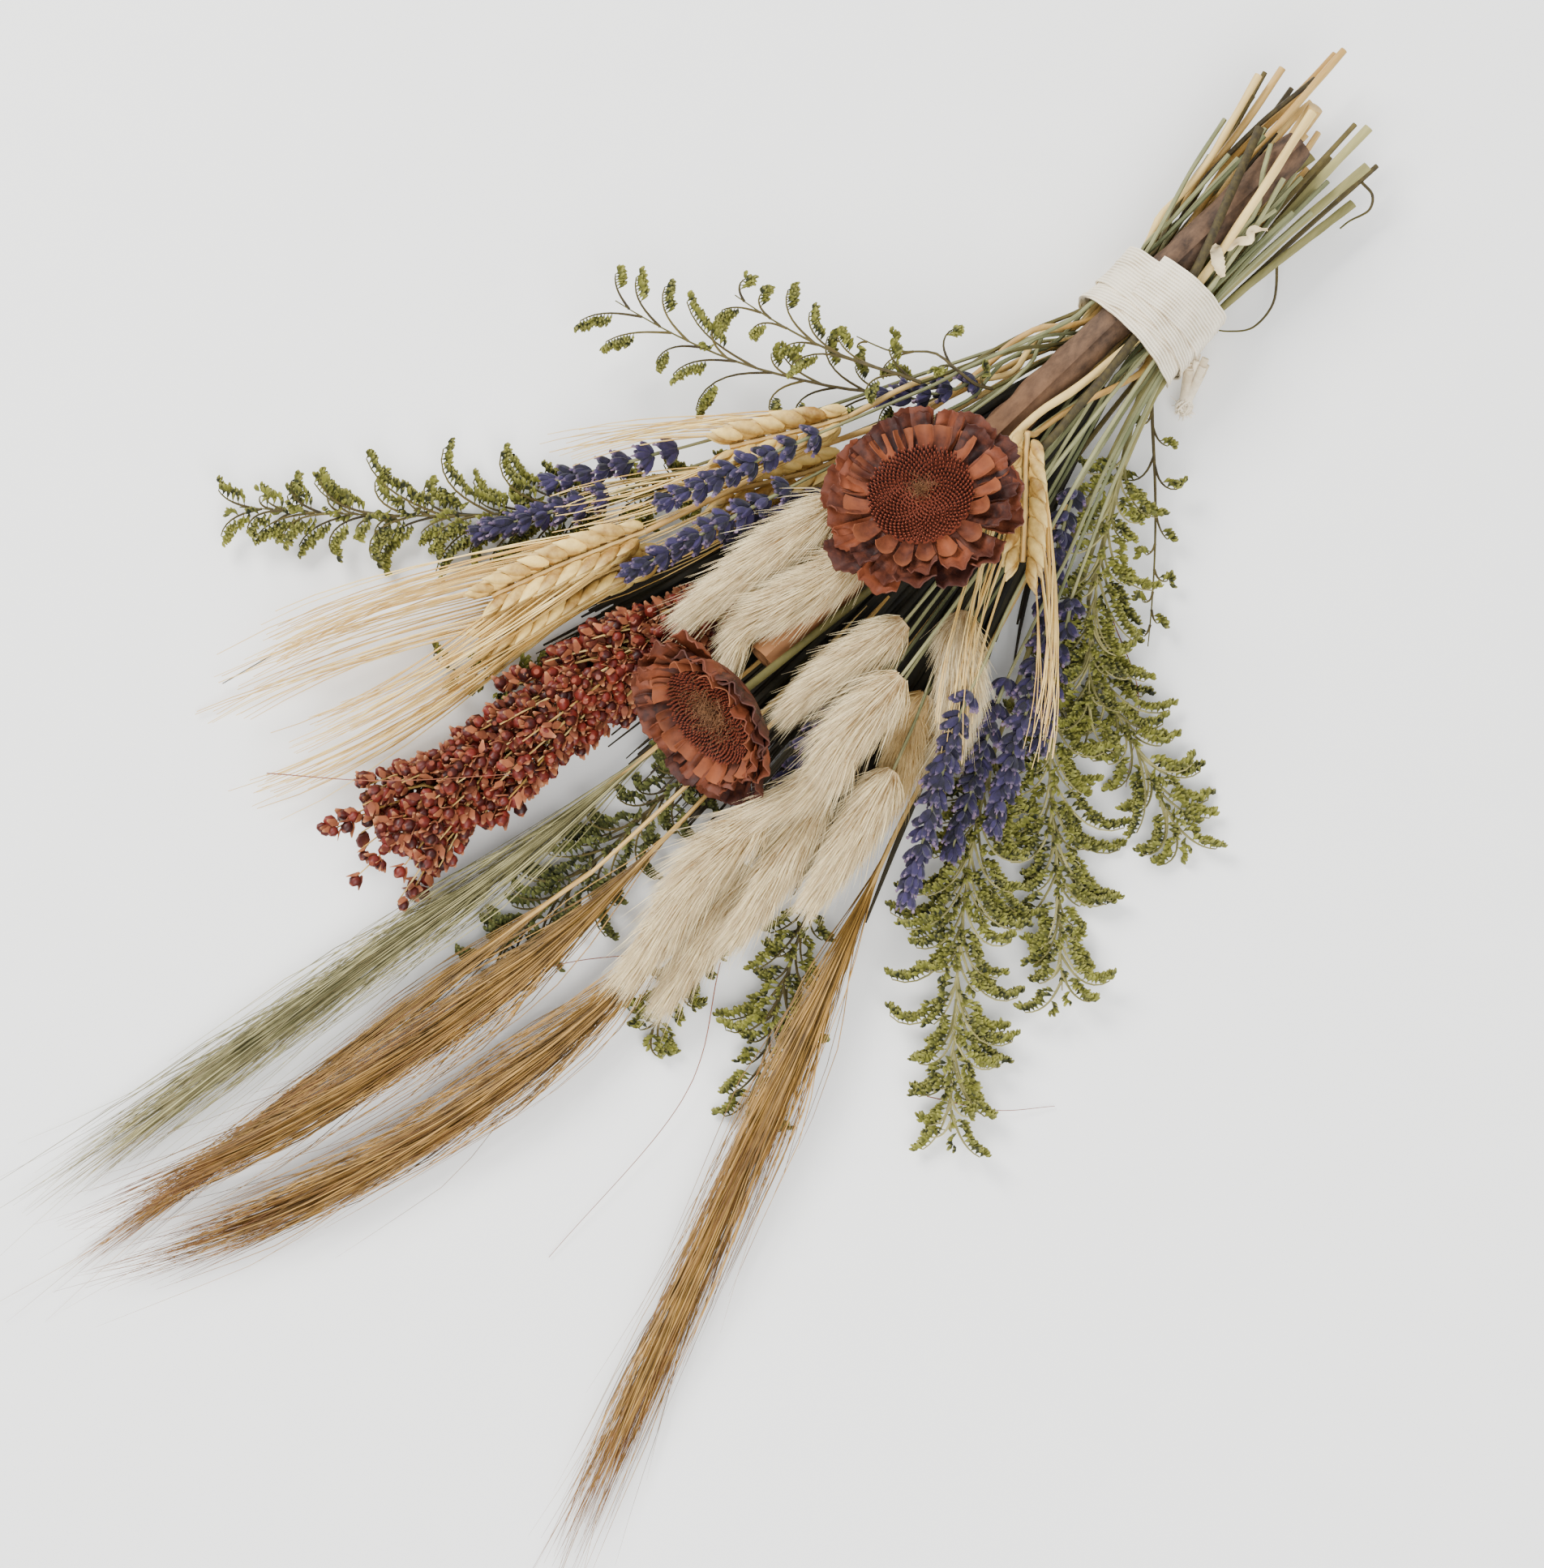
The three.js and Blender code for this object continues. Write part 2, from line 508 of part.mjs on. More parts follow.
// The tied end of the tape, lying on the table against the collar.
function knot(strands) {
  const side = reachAt(strands, -TIE.length / 4, 1, 0) + TIE.clearance + TIE.tape + 0.4;
  const start = new THREE.Vector3(side + KNOT.thickness / 2, -4, KNOT.width);
  const way = new THREE.Vector3(0.35, -0.9, -0.28).normalize();
  const points = [0, 0.35, 0.7, 1].map((t) => start.clone().addScaledVector(way, t * KNOT.length));
  const half = [[0.5, 0.4], [0.7, 1], [1, 0.9], [0.6, 0.5]];
  return skin(points.map((p, i) => {
    const { level, upright } = across(points, i);
    return ring(p, level, upright, [half[i][0] * KNOT.thickness * 0.5, half[i][1] * KNOT.width * 0.5], 8);
  }));
}

// ---- The bunch ----
const strands = [cinnamonStick()];
for (const [kind, rows] of Object.entries(PLAN)) rows.forEach((row, i) => strands.push(strand(kind, i, row)));
settle(strands, 150, 200);

const bunch = new THREE.Group();
const add = (name, geometry, colour, roughness) => {
  const finish = new THREE.MeshStandardMaterial({ color: colour, roughness, metalness: 0 });
  const mesh = new THREE.Mesh(geometry, finish);
  mesh.name = name;
  bunch.add(mesh);
};
for (const s of strands) {
  const geometry = s.name.startsWith("sugarbush") ? sugarbush(s) : loft(s);
  add(s.name, geometry, s.kind.colour, s.kind.rough);
}
add("cotton_tape_wrap", collar(strands), 0xe9e2d2, 0.9);
add("cotton_tape_knot", knot(strands), 0xe9e2d2, 0.9);

export default bunch;
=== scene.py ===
"""A hand-tied bunch of dried flowers lying on a pale surface.

Each plant is grown along the centreline of its solid in the frame: a stem, and a head of bristles, husks,
buds or bracts. Repeated shapes are modelled once with Blender's tools and planted many times into one mesh.
Lengths are in millimetres inside the classes and become metres when a mesh is made.
"""

import logging
import math
from dataclasses import dataclass, field
from enum import Enum

import bmesh
import bpy
import numpy as np
from mathutils import Matrix, Vector


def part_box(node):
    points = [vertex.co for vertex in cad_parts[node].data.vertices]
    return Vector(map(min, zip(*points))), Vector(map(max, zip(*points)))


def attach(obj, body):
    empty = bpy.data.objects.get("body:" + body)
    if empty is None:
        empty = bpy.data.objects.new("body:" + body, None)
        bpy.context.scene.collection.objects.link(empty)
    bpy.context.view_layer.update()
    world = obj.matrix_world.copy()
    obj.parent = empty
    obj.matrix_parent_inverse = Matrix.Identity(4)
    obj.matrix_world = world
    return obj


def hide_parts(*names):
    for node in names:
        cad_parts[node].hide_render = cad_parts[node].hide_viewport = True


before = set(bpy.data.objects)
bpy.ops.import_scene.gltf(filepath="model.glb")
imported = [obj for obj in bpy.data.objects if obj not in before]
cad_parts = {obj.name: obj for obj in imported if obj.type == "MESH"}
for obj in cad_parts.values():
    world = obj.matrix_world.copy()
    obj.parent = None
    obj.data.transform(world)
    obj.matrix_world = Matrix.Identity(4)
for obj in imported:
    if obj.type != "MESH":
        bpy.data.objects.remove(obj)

log = logging.getLogger("bunch")
Array = np.ndarray
Colour = tuple[float, float, float]
MM = 0.001
UP = np.array([0.0, 0.0, 1.0])
FLOOR_CLEARANCE = 0.15  # the least height of any point over the floor
CUT_REACH = 6.4  # no edge across a plant's cut end is as long as this
RING_LIMIT = 9  # the walk along a solid stops at a ring with more points than this
LEAF_TURN = 2.4  # the turn, in radians, from one whorled shape to the next
LEAF_WIDTH = 10.0  # the width of a bract as it is modelled
LEAF_LENGTH = 20.0  # the length of a bract as it is modelled


# ---- The solids ----


def solid_points(node: str) -> Array:
    """Reads the corner points of a solid, in millimetres."""
    return np.array([v.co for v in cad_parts[node].data.vertices], float) / MM


def solid_box(node: str) -> tuple[Array, Array]:
    """Reads the low and the high corner of a solid's box, in millimetres."""
    low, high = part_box(node)
    return np.array(low) / MM, np.array(high) / MM


# ---- Small vector helpers ----


def unit(v: Array) -> Array:
    """Scales vectors to length one."""
    return v / np.maximum(np.linalg.norm(v, axis=-1, keepdims=True), 1e-9)


def around(angle: Array, side: Array, upright: Array) -> Array:
    """Turns angles into directions in the plane of two others."""
    return np.cos(angle)[:, None] * side + np.sin(angle)[:, None] * upright


def on_lines(lines: Array, row: Array | int, share: Array) -> tuple[Array, Array]:
    """Places points on lines.

    Args:
        lines: The lines, shaped (lines, points, 3).
        row: The number of each point's line.
        share: How far along the line it is, from 0 to 1.

    Returns:
        The points, and the way that their lines run there.
    """
    at = share * (lines.shape[1] - 1.001)
    low = at.astype(int)
    step = lines[row, low + 1] - lines[row, low]
    return lines[row, low] + step * (at - low)[..., None], unit(step)


def smooth_line(points: Array, count: int) -> Array:
    """Resamples a line of points evenly along a Catmull-Rom curve.

    Args:
        points: The line, one point in a row.
        count: How many points to return.

    Returns:
        The resampled points.
    """
    padded = np.vstack([2 * points[0] - points[1], points, 2 * points[-1] - points[-2]])
    fine = []
    for i in range(len(points) - 1):
        a, b, c, d = padded[i : i + 4]
        t = np.linspace(0, 1, 9)[:-1, None]
        bend, twist = 2 * a - 5 * b + 4 * c - d, 3 * b - a - 3 * c + d
        fine.append(0.5 * (2 * b + (c - a) * t + bend * t**2 + twist * t**3))
    fine.append(points[-1:])
    line = np.vstack(fine)
    run = np.concatenate([[0], np.cumsum(np.linalg.norm(np.diff(line, axis=0), axis=1))])
    at = np.linspace(0, run[-1], count)
    return np.stack([np.interp(at, run, line[:, k]) for k in range(3)], axis=1)


@dataclass
class Line:
    """A curve with a level side direction and an upright one across it, sampled evenly."""

    points: Array
    along: Array = field(init=False)
    side: Array = field(init=False)
    upright: Array = field(init=False)
    length: float = field(init=False)

    def __post_init__(self) -> None:
        """Works out the directions."""
        self.along = unit(np.gradient(self.points, axis=0))
        self.side = unit(np.cross(self.along, UP))
        self.upright = np.cross(self.side, self.along)
        self.length = float(np.linalg.norm(np.diff(self.points, axis=0), axis=1).sum())

    def at(self, share: Array) -> tuple[Array, Array, Array, Array]:
        """Places on the line.

        Args:
            share: How far along, from 0 to 1. Past 1 the line runs on straight.

        Returns:
            The points and the along, side and upright directions there.
        """
        x = np.clip(share, 0, 1) * (len(self.points) - 1)
        past = np.maximum(share - 1, 0)[:, None] * self.length * self.along[-1]
        grid = np.arange(len(self.points))

        def pick(values: Array) -> Array:
            return np.stack([np.interp(x, grid, values[:, k]) for k in range(3)], axis=-1)

        directions = (unit(pick(v)) for v in (self.along, self.side, self.upright))
        return pick(self.points) + past, *directions


def read_route(node: str, head_rings: int) -> tuple[Array, Array]:
    """Recovers the centreline of a plant from the rings of its solid, walking from its cut end.

    Args:
        node: The name of the node.
        head_rings: How many of the last rings belong to the head.

    Returns:
        The centres of the stem's rings and of the head's rings, in millimetres.
    """
    mesh = bmesh.new()
    mesh.from_mesh(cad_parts[node].data)
    bmesh.ops.remove_doubles(mesh, verts=mesh.verts, dist=1e-5)
    start = max(mesh.verts, key=lambda v: v.co.y)
    ring = {start}
    for face in start.link_faces:
        for v in face.verts:
            if (v.co - start.co).length < CUT_REACH * MM:
                ring.add(v)
    for v in list(ring):
        ring |= {e.other_vert(v) for e in v.link_edges if e.calc_length() < CUT_REACH * MM}
    seen, centres = set(ring), []
    while ring and len(ring) <= RING_LIMIT:
        centres.append(np.mean([np.array(v.co) for v in ring], axis=0) / MM)
        ring = {e.other_vert(v) for v in ring for e in v.link_edges} - seen
        seen |= ring
    mesh.free()
    centres = np.array(centres)
    if head_rings == 0:
        return centres, centres[-1:]
    return centres[: len(centres) - head_rings + 1], centres[len(centres) - head_rings :]


# ---- Meshes of many small shapes ----


@dataclass
class Seedling:
    """A small closed shape, modelled once, that is planted many times."""

    points: Array
    faces: list[tuple[int, ...]]

    @classmethod
    def from_object(cls, obj: bpy.types.Object) -> "Seedling":
        """Takes a modelled object's mesh, in millimetres, and removes the object."""
        points = np.array([v.co for v in obj.data.vertices], float) / MM
        faces = [tuple(p.vertices) for p in obj.data.polygons]
        bpy.data.objects.remove(obj)
        return cls(points, faces)


class Thicket:
    """Gathers many closed shapes into one mesh with a tint and an along value at each point."""

    def __init__(self) -> None:
        """Starts empty."""
        self.points: list[Array] = []
        self.faces: list[tuple[Array, "Ink"]] = []
        self.tints: list[Array] = []
        self.alongs: list[Array] = []
        self.total = 0

    def take(self, points: Array, faces: list[Array], ink: "Ink", tint: Array, along: Array) -> None:
        """Adds a ready mesh.

        Args:
            points: Its points.
            faces: Its faces, as arrays of point numbers with one row a face.
            ink: Its finish.
            tint: The tint at each point.
            along: The along value at each point.
        """
        for group in faces:
            self.faces.append((group + self.total, ink))
        self.points.append(points)
        self.tints.append(tint)
        self.alongs.append(along)
        self.total += len(points)

    def plant(
        self, seed: Seedling, places: Array, along: Array, side: Array, size: Array, ink: "Ink", tint: Array
    ) -> None:
        """Plants copies of a shape whose own Z points along.

        Args:
            seed: The shape.
            places: Where each copy's foot is.
            along: The way each copy grows.
            side: A direction near each copy's own X.
            size: Each copy's scale, one value or three.
            ink: Their finish.
            tint: Each copy's tint, from 0 to 1.
        """
        count = len(places)
        z = unit(along)
        x = unit(side - (side * z).sum(-1, keepdims=True) * z)
        y = np.cross(z, x)
        scale = np.broadcast_to(np.asarray(size, float).reshape(count, -1), (count, 3))
        axes = np.stack([x, y, z], axis=1) * scale[:, :, None]
        points = np.einsum("pi,kij->kpj", seed.points, axes) + places[:, None, :]
        n = len(seed.points)
        shift = (np.arange(count) * n)[:, None, None]
        groups: dict[int, list] = {}
        for face in seed.faces:
            groups.setdefault(len(face), []).append(face)
        faces = [(np.array(g)[None] + shift).reshape(-1, k) for k, g in groups.items()]
        top = max(seed.points[:, 2].max(), 1e-6)
        run = np.tile(np.clip(seed.points[:, 2] / top, 0, 1), count)
        self.take(points.reshape(-1, 3), faces, ink, np.repeat(tint, n), run)

    def blades(
        self, lines: Array, radii: Array, sides: int, ink: "Ink", tint: Array, flat: float = 1.0
    ) -> None:
        """Adds closed tubes along lines.

        Args:
            lines: For each tube, its centreline, shaped (tubes, points, 3).
            radii: For each tube, its radius at each point.
            sides: How many sides a tube has.
            ink: Their finish.
            tint: Each tube's tint.
            flat: The tube's upright thickness as a share of its width.
        """
        count, steps, _ = lines.shape
        tangent = unit(np.gradient(lines, axis=1))
        lean = np.where(np.abs(tangent[:, :1, 2:3]) > 0.9, np.array([1.0, 0, 0]), UP)
        side = unit(np.cross(tangent, lean))
        over = np.cross(side, tangent)
        angle = 2 * math.pi * np.arange(sides) / sides
        turn = angle[None, None, :, None]
        ring = np.cos(turn) * side[:, :, None] - flat * np.sin(turn) * over[:, :, None]
        points = lines[:, :, None, :] + radii[:, :, None, None] * ring
        k = np.arange(sides)
        step = (np.arange(steps - 1) * sides)[:, None]
        after = (k + 1) % sides
        quads = np.stack([k + step, after + step, after + sides + step, k + sides + step], axis=-1)
        shift = (np.arange(count) * steps * sides)[:, None, None]
        faces = [(quads.reshape(1, -1, 4) + shift).reshape(-1, 4)]
        ends = np.stack([k[::-1], k + (steps - 1) * sides])
        faces.append((ends[None] + shift).reshape(-1, sides))
        run = np.tile(np.repeat(np.linspace(0, 1, steps), sides), count)
        self.take(points.reshape(-1, 3), faces, ink, np.repeat(tint, steps * sides), run)

    def harvest(self, name: str, sharp: float = 50) -> bpy.types.Object:
        """Makes the gathered shapes one object.

        Args:
            name: The object's name.
            sharp: Edges that turn by more degrees than this stay sharp.

        Returns:
            The object, with its place in its mesh.
        """
        mesh = bpy.data.meshes.new(name)
        points = np.vstack(self.points) * MM
        points[:, 2] = np.maximum(points[:, 2], FLOOR_CLEARANCE * MM)
        sizes = np.concatenate([np.full(len(f), f.shape[1]) for f, _ in self.faces])
        mesh.vertices.add(len(points))
        mesh.vertices.foreach_set("co", points.ravel())
        mesh.loops.add(int(sizes.sum()))
        mesh.loops.foreach_set("vertex_index", np.concatenate([f.ravel() for f, _ in self.faces]))
        mesh.polygons.add(len(sizes))
        mesh.polygons.foreach_set("loop_start", np.concatenate([[0], np.cumsum(sizes)[:-1]]))
        inks = list(dict.fromkeys(ink for _, ink in self.faces))
        slots = np.concatenate([np.full(len(f), inks.index(ink)) for f, ink in self.faces])
        mesh.polygons.foreach_set("material_index", slots)
        mesh.update(calc_edges=True)
        for title, values in (("tint", self.tints), ("along", self.alongs)):
            layer = mesh.attributes.new(title, "FLOAT", "POINT")
            layer.data.foreach_set("value", np.concatenate(values).astype(np.float32))
        for ink in inks:
            mesh.materials.append(ink.material)
        mesh.shade_smooth()
        mesh.set_sharp_from_angle(angle=math.radians(sharp))
        obj = bpy.data.objects.new(name, mesh)
        bpy.context.scene.collection.objects.link(obj)
        return obj


# ---- Modelling the small shapes with Blender's tools ----


def grow(name: str, sides: int, stations: list[tuple[float, float, float]]) -> bpy.types.Object:
    """Models a closed shape by extruding a filled circle upwards and resizing it at each station.

    Args:
        name: The object's name.
        sides: How many sides the circle has.
        stations: Height, half-width and half-depth at each level, in millimetres, from the foot up.

    Returns:
        The object, with its foot at the origin.
    """
    bpy.ops.object.select_all(action="DESELECT")
    z0, wide, deep = stations[0]
    bpy.ops.mesh.primitive_circle_add(vertices=sides, radius=MM, fill_type="NGON", location=(0, 0, z0 * MM))
    obj = bpy.context.object
    obj.name = name
    bpy.ops.object.transform_apply(location=True, rotation=True, scale=True)
    bpy.ops.object.mode_set(mode="EDIT")
    bpy.ops.mesh.select_all(action="SELECT")
    bpy.ops.transform.resize(value=(wide, deep, 1), center_override=(0, 0, z0 * MM))
    for (z1, w1, d1), (z2, w2, d2) in zip(stations, stations[1:]):
        bpy.ops.mesh.extrude_region_move(TRANSFORM_OT_translate={"value": (0, 0, (z2 - z1) * MM)})
        bpy.ops.transform.resize(value=(w2 / w1, d2 / d1, 1), center_override=(0, 0, z2 * MM))
    bpy.ops.mesh.select_all(action="SELECT")
    bpy.ops.mesh.normals_make_consistent(inside=False)
    bpy.ops.object.mode_set(mode="OBJECT")
    return obj


def open_shape(obj: bpy.types.Object, kind: str) -> bmesh.types.BMesh:
    """Opens a shape for editing, with none of it selected.

    Args:
        obj: The shape.
        kind: What can be selected, VERT or FACE.

    Returns:
        The mesh under the tools.
    """
    bpy.ops.object.select_all(action="DESELECT")
    bpy.context.view_layer.objects.active = obj
    obj.select_set(True)
    bpy.ops.object.mode_set(mode="EDIT")
    bpy.ops.mesh.select_mode(type=kind)
    bpy.ops.mesh.select_all(action="DESELECT")
    return bmesh.from_edit_mesh(obj.data)


def pinch_ribs(obj: bpy.types.Object, sides: int, share: float) -> None:
    """Pulls every second upright edge inwards, so that the rest stand as ribs.

    Args:
        obj: A shape made by grow.
        sides: Its number of sides.
        share: How far out the pulled edges stay.
    """
    mesh = open_shape(obj, "VERT")
    for v in mesh.verts:
        turn = math.atan2(v.co.x, v.co.y) / (2 * math.pi) * sides
        v.select = round(turn) % 2 == 1
    bmesh.update_edit_mesh(obj.data)
    bpy.ops.transform.resize(value=(share, share, 1), center_override=(0, 0, 0))
    bpy.ops.object.mode_set(mode="OBJECT")


def hollow_end(obj: bpy.types.Object, rim: float, depth: float) -> None:
    """Opens the top of a shape into a cup.

    Args:
        obj: A shape made by grow.
        rim: How thick the cup's rim is.
        depth: How deep the cup goes.
    """
    mesh = open_shape(obj, "FACE")
    top = max(mesh.faces, key=lambda f: f.calc_center_median().z if f.normal.z > 0.9 else -1)
    top.select = True
    bmesh.update_edit_mesh(obj.data)
    bpy.ops.mesh.inset(thickness=rim * MM, depth=0)
    bpy.ops.mesh.inset(thickness=rim * 0.3 * MM, depth=-depth * MM)
    bpy.ops.object.mode_set(mode="OBJECT")


def bow(obj: bpy.types.Object, drop: float) -> None:
    """Bends an upright shape so that its top leans towards +X.

    Args:
        obj: The shape.
        drop: How far the top moves, in millimetres.
    """
    top = max(v.co.z for v in obj.data.vertices)
    for v in obj.data.vertices:
        v.co.x += drop * MM * (v.co.z / top) ** 2


# ---- Finishes ----


class Recipe:
    """A material that is being made: its shader, and the nodes that feed it."""

    def __init__(self, name: str) -> None:
        """Starts with the plain shader."""
        self.material = bpy.data.materials.new(name)
        self.material.use_nodes = True
        self.tree = self.material.node_tree
        self.shader = self.tree.nodes["Principled BSDF"]

    def add(self, kind: str, values: dict | None = None, **settings: str | bool) -> bpy.types.ShaderNode:
        """Adds a node.

        Args:
            kind: Its type, without the word ShaderNode.
            values: The values on its sockets.
            **settings: Its settings.

        Returns:
            The node.
        """
        node = self.tree.nodes.new("ShaderNode" + kind)
        for title, value in settings.items():
            setattr(node, title, value)
        for socket, value in (values or {}).items():
            node.inputs[socket].default_value = value
        return node

    def join(self, *links: tuple) -> None:
        """Joins nodes, each link given as a node, its output, the next node and its input."""
        for start, output, end, socket in links:
            self.tree.links.new(start.outputs[output], end.inputs[socket])

    def set(self, values: dict[str, float]) -> None:
        """Sets values on the shader's own sockets."""
        for socket, value in values.items():
            self.shader.inputs[socket].default_value = value


@dataclass(frozen=True)
class Finish:
    """A dried plant's surface.

    Attributes:
        name: The material's name.
        dark: The colour where the tint and the mottling are low.
        light: The colour where they are high.
        tip: The colour towards the end of each shape.
        tip_from: How far along the shape the tip colour begins.
        tip_share: How much of the tip colour shows at the very end.
        mottle: How fine the mottling is.
        streak: The mottling's scale along each axis.
        rough: The middle roughness.
        relief: The strength of the fine relief.
        sheen: The strength of the soft sheen of hairs.
    """

    name: str
    dark: Colour
    light: Colour
    tip: Colour
    tip_from: float = 0.6
    tip_share: float = 0.5
    mottle: float = 220.0
    streak: tuple[float, float, float] = (1, 1, 1)
    rough: float = 0.7
    relief: float = 0.3
    sheen: float = 0.0

    def make(self) -> bpy.types.Material:
        """Builds the material.

        Returns:
            The new material.
        """
        recipe = Recipe(self.name)
        shader = recipe.shader
        place = recipe.add("TexCoord")
        mapping = recipe.add("Mapping", {"Scale": self.streak})
        noise = recipe.add("TexNoise", {"Scale": self.mottle, "Detail": 5, "Roughness": 0.65})
        tint = recipe.add("Attribute", attribute_name="tint")
        along = recipe.add("Attribute", attribute_name="along")
        spread = recipe.add("Math", {1: 1.5, 2: -0.75}, operation="MULTIPLY_ADD")
        share = recipe.add("Math", operation="ADD", use_clamp=True)
        body = recipe.add("Mix", {"A": (*self.dark, 1), "B": (*self.light, 1)}, data_type="RGBA")
        ramp = recipe.add("MapRange", {"From Min": self.tip_from, "To Max": self.tip_share})
        end = recipe.add("Mix", {"B": (*self.tip, 1)}, data_type="RGBA")
        glossy, dull = self.rough - 0.12, min(1.0, self.rough + 0.15)
        gloss = recipe.add("MapRange", {"To Min": glossy, "To Max": dull})
        bump = recipe.add("Bump", {"Strength": self.relief, "Distance": 0.0004})
        recipe.join(
            (place, "Object", mapping, "Vector"),
            (mapping, "Vector", noise, "Vector"),
            (noise, "Fac", spread, 0),
            (spread, 0, share, 0),
            (tint, "Fac", share, 1),
            (share, 0, body, "Factor"),
            (along, "Fac", ramp, "Value"),
            (ramp, "Result", end, "Factor"),
            (body, "Result", end, "A"),
            (end, "Result", shader, "Base Color"),
            (noise, "Fac", gloss, "Value"),
            (gloss, "Result", shader, "Roughness"),
            (noise, "Fac", bump, "Height"),
            (bump, "Normal", shader, "Normal"),
        )
        recipe.set({"Specular IOR Level": 0.3})
        if self.sheen:
            recipe.set({"Sheen Weight": self.sheen, "Sheen Roughness": 0.5})
        return recipe.material


def rgb(red: int, green: int, blue: int) -> Colour:
    """Turns a colour of 0 to 255 into a linear one."""
    return tuple(((c / 255 + 0.055) / 1.055) ** 2.4 if c > 10 else c / 3295 for c in (red, green, blue))


class Ink(Enum):
    """The finishes of the bunch."""

    GREEN_STEM = Finish(
        "green_stem", rgb(82, 86, 56), rgb(148, 146, 104), rgb(150, 136, 96), 0.9, 0.3, 300, (1, 0.15, 1)
    )
    OLIVE_STEM = Finish(
        "olive_stem", rgb(92, 88, 48), rgb(158, 150, 98), rgb(120, 100, 60), 0.9, 0.3, 260, (1, 0.15, 1)
    )
    STRAW_STEM = Finish(
        "straw_stem", rgb(160, 120, 56), rgb(224, 194, 124), rgb(184, 142, 76), 0.6, 0.5, 260, (1, 0.1, 1),
        0.5,
    )
    DARK_TWIG = Finish("dark_twig", rgb(44, 36, 18), rgb(92, 80, 42), rgb(92, 88, 40), 0.4, 0.6, 400)
    # The dark colour, mixed in over the lower parts of the hairs, is painted shade deep in the fluff.
    BUNNY_HAIR = Finish(
        "bunny_hair", rgb(156, 120, 64), rgb(242, 224, 174), rgb(252, 238, 198), 0.4, 0.6, 180,
        rough=0.75, sheen=0.15,
    )
    # The core's darker beige is painted shade deep inside the tuft, seen between the hairs.
    BUNNY_CORE = Finish("bunny_core", rgb(150, 122, 82), rgb(196, 170, 126), rgb(196, 170, 126), mottle=400)
    GOLD_HAIR = Finish(
        "gold_hair", rgb(160, 124, 66), rgb(224, 196, 136), rgb(236, 214, 164), 0.5, 0.6, 180, rough=0.75
    )
    CALYX = Finish(
        "lavender_calyx", rgb(11, 9, 23), rgb(50, 41, 78), rgb(104, 88, 112), 0.86, 0.6, 500, rough=0.8,
        relief=0.4, sheen=0.15,
    )
    COROLLA = Finish(
        "lavender_corolla", rgb(70, 56, 96), rgb(138, 118, 140), rgb(124, 100, 92), 0.5, 0.5, 500
    )
    GLUME = Finish(
        "wheat_glume", rgb(136, 98, 42), rgb(228, 194, 112), rgb(238, 212, 140), 0.6, 0.6, 300, rough=0.5
    )
    AWN = Finish(
        "wheat_awn", rgb(186, 146, 74), rgb(238, 210, 138), rgb(222, 186, 118), 0.7, 0.5, 120, rough=0.5
    )
    GRAIN = Finish(
        "sorghum_grain", rgb(40, 9, 7), rgb(102, 30, 20), rgb(140, 70, 46), 0.9, 0.5, 260, rough=0.45,
        relief=0.15,
    )
    HUSK = Finish("sorghum_husk", rgb(84, 34, 22), rgb(150, 88, 56), rgb(190, 136, 94), 0.7, 0.6, 260)
    BRISTLE = Finish(
        "brush_bristle", rgb(80, 58, 24), rgb(176, 136, 70), rgb(118, 66, 34), 0.7, 0.7, 90, rough=0.5,
        relief=0.1,
    )
    OLIVE_BRISTLE = Finish(
        "olive_bristle", rgb(84, 80, 46), rgb(170, 162, 116), rgb(130, 104, 72), 0.8, 0.6, 90, rough=0.55,
        relief=0.1,
    )
    RED_HAIR = Finish("red_hair", rgb(112, 60, 40), rgb(150, 92, 66), rgb(140, 80, 60), mottle=90)
    FLORET = Finish(
        "sea_lavender_floret", rgb(26, 30, 8), rgb(112, 112, 42), rgb(152, 148, 76), 0.6, 0.6, 240
    )
    GREY_FLORET = Finish("grey_floret", rgb(24, 28, 10), rgb(82, 86, 38), rgb(116, 116, 60), 0.6, 0.6, 240)
    BRACT = Finish(
        "sugarbush_bract", rgb(38, 13, 8), rgb(126, 64, 36), rgb(72, 32, 20), 0.6, 0.6, 260, rough=0.6,
        relief=0.7,
    )
    INNER_BRACT = Finish(
        "sugarbush_inner_bract", rgb(62, 25, 13), rgb(130, 68, 38), rgb(142, 82, 50), 0.5, 0.5, 260,
        relief=0.4,
    )
    SEED_FACE = Finish(
        "sugarbush_seed", rgb(8, 3, 2), rgb(36, 12, 7), rgb(120, 52, 29), 0.45, 0.95, 500, rough=0.7,
        relief=0.4,
    )
    FUZZ = Finish("sugarbush_fuzz", rgb(64, 34, 20), rgb(128, 84, 52), rgb(150, 112, 76), 0.5, 0.5, 300)
    # The bark's darkest colour is deeper than its own brown: painted shade, for the shadow that the stick
    # lies in between the heads.
    BARK = Finish(
        "rolled_bark", rgb(26, 18, 13), rgb(126, 96, 72), rgb(150, 102, 62), 0.38, 0.85, 150, (1.5, 0.8, 1.5),
        0.75, 0.9,
    )
    LEAF = Finish("dry_leaf", rgb(160, 138, 96), rgb(226, 208, 168), rgb(206, 178, 126), 0.7, 0.4, 140)
    # Near-black strips that stand for the shadow under and between the heads: painted shade.
    SHADE_LEAF = Finish("shade_fill_leaf", rgb(14, 12, 7), rgb(46, 42, 24), rgb(52, 40, 22), 0.7, 0.5, 200)
    THREAD = Finish(
        "cotton_thread", rgb(188, 170, 138), rgb(236, 224, 200), rgb(238, 228, 206), 0.5, 0.5, 400
    )

    @property
    def material(self) -> bpy.types.Material:
        """The finish's material, made the first time that it is asked for."""
        return bpy.data.materials.get(self.value.name) or self.value.make()


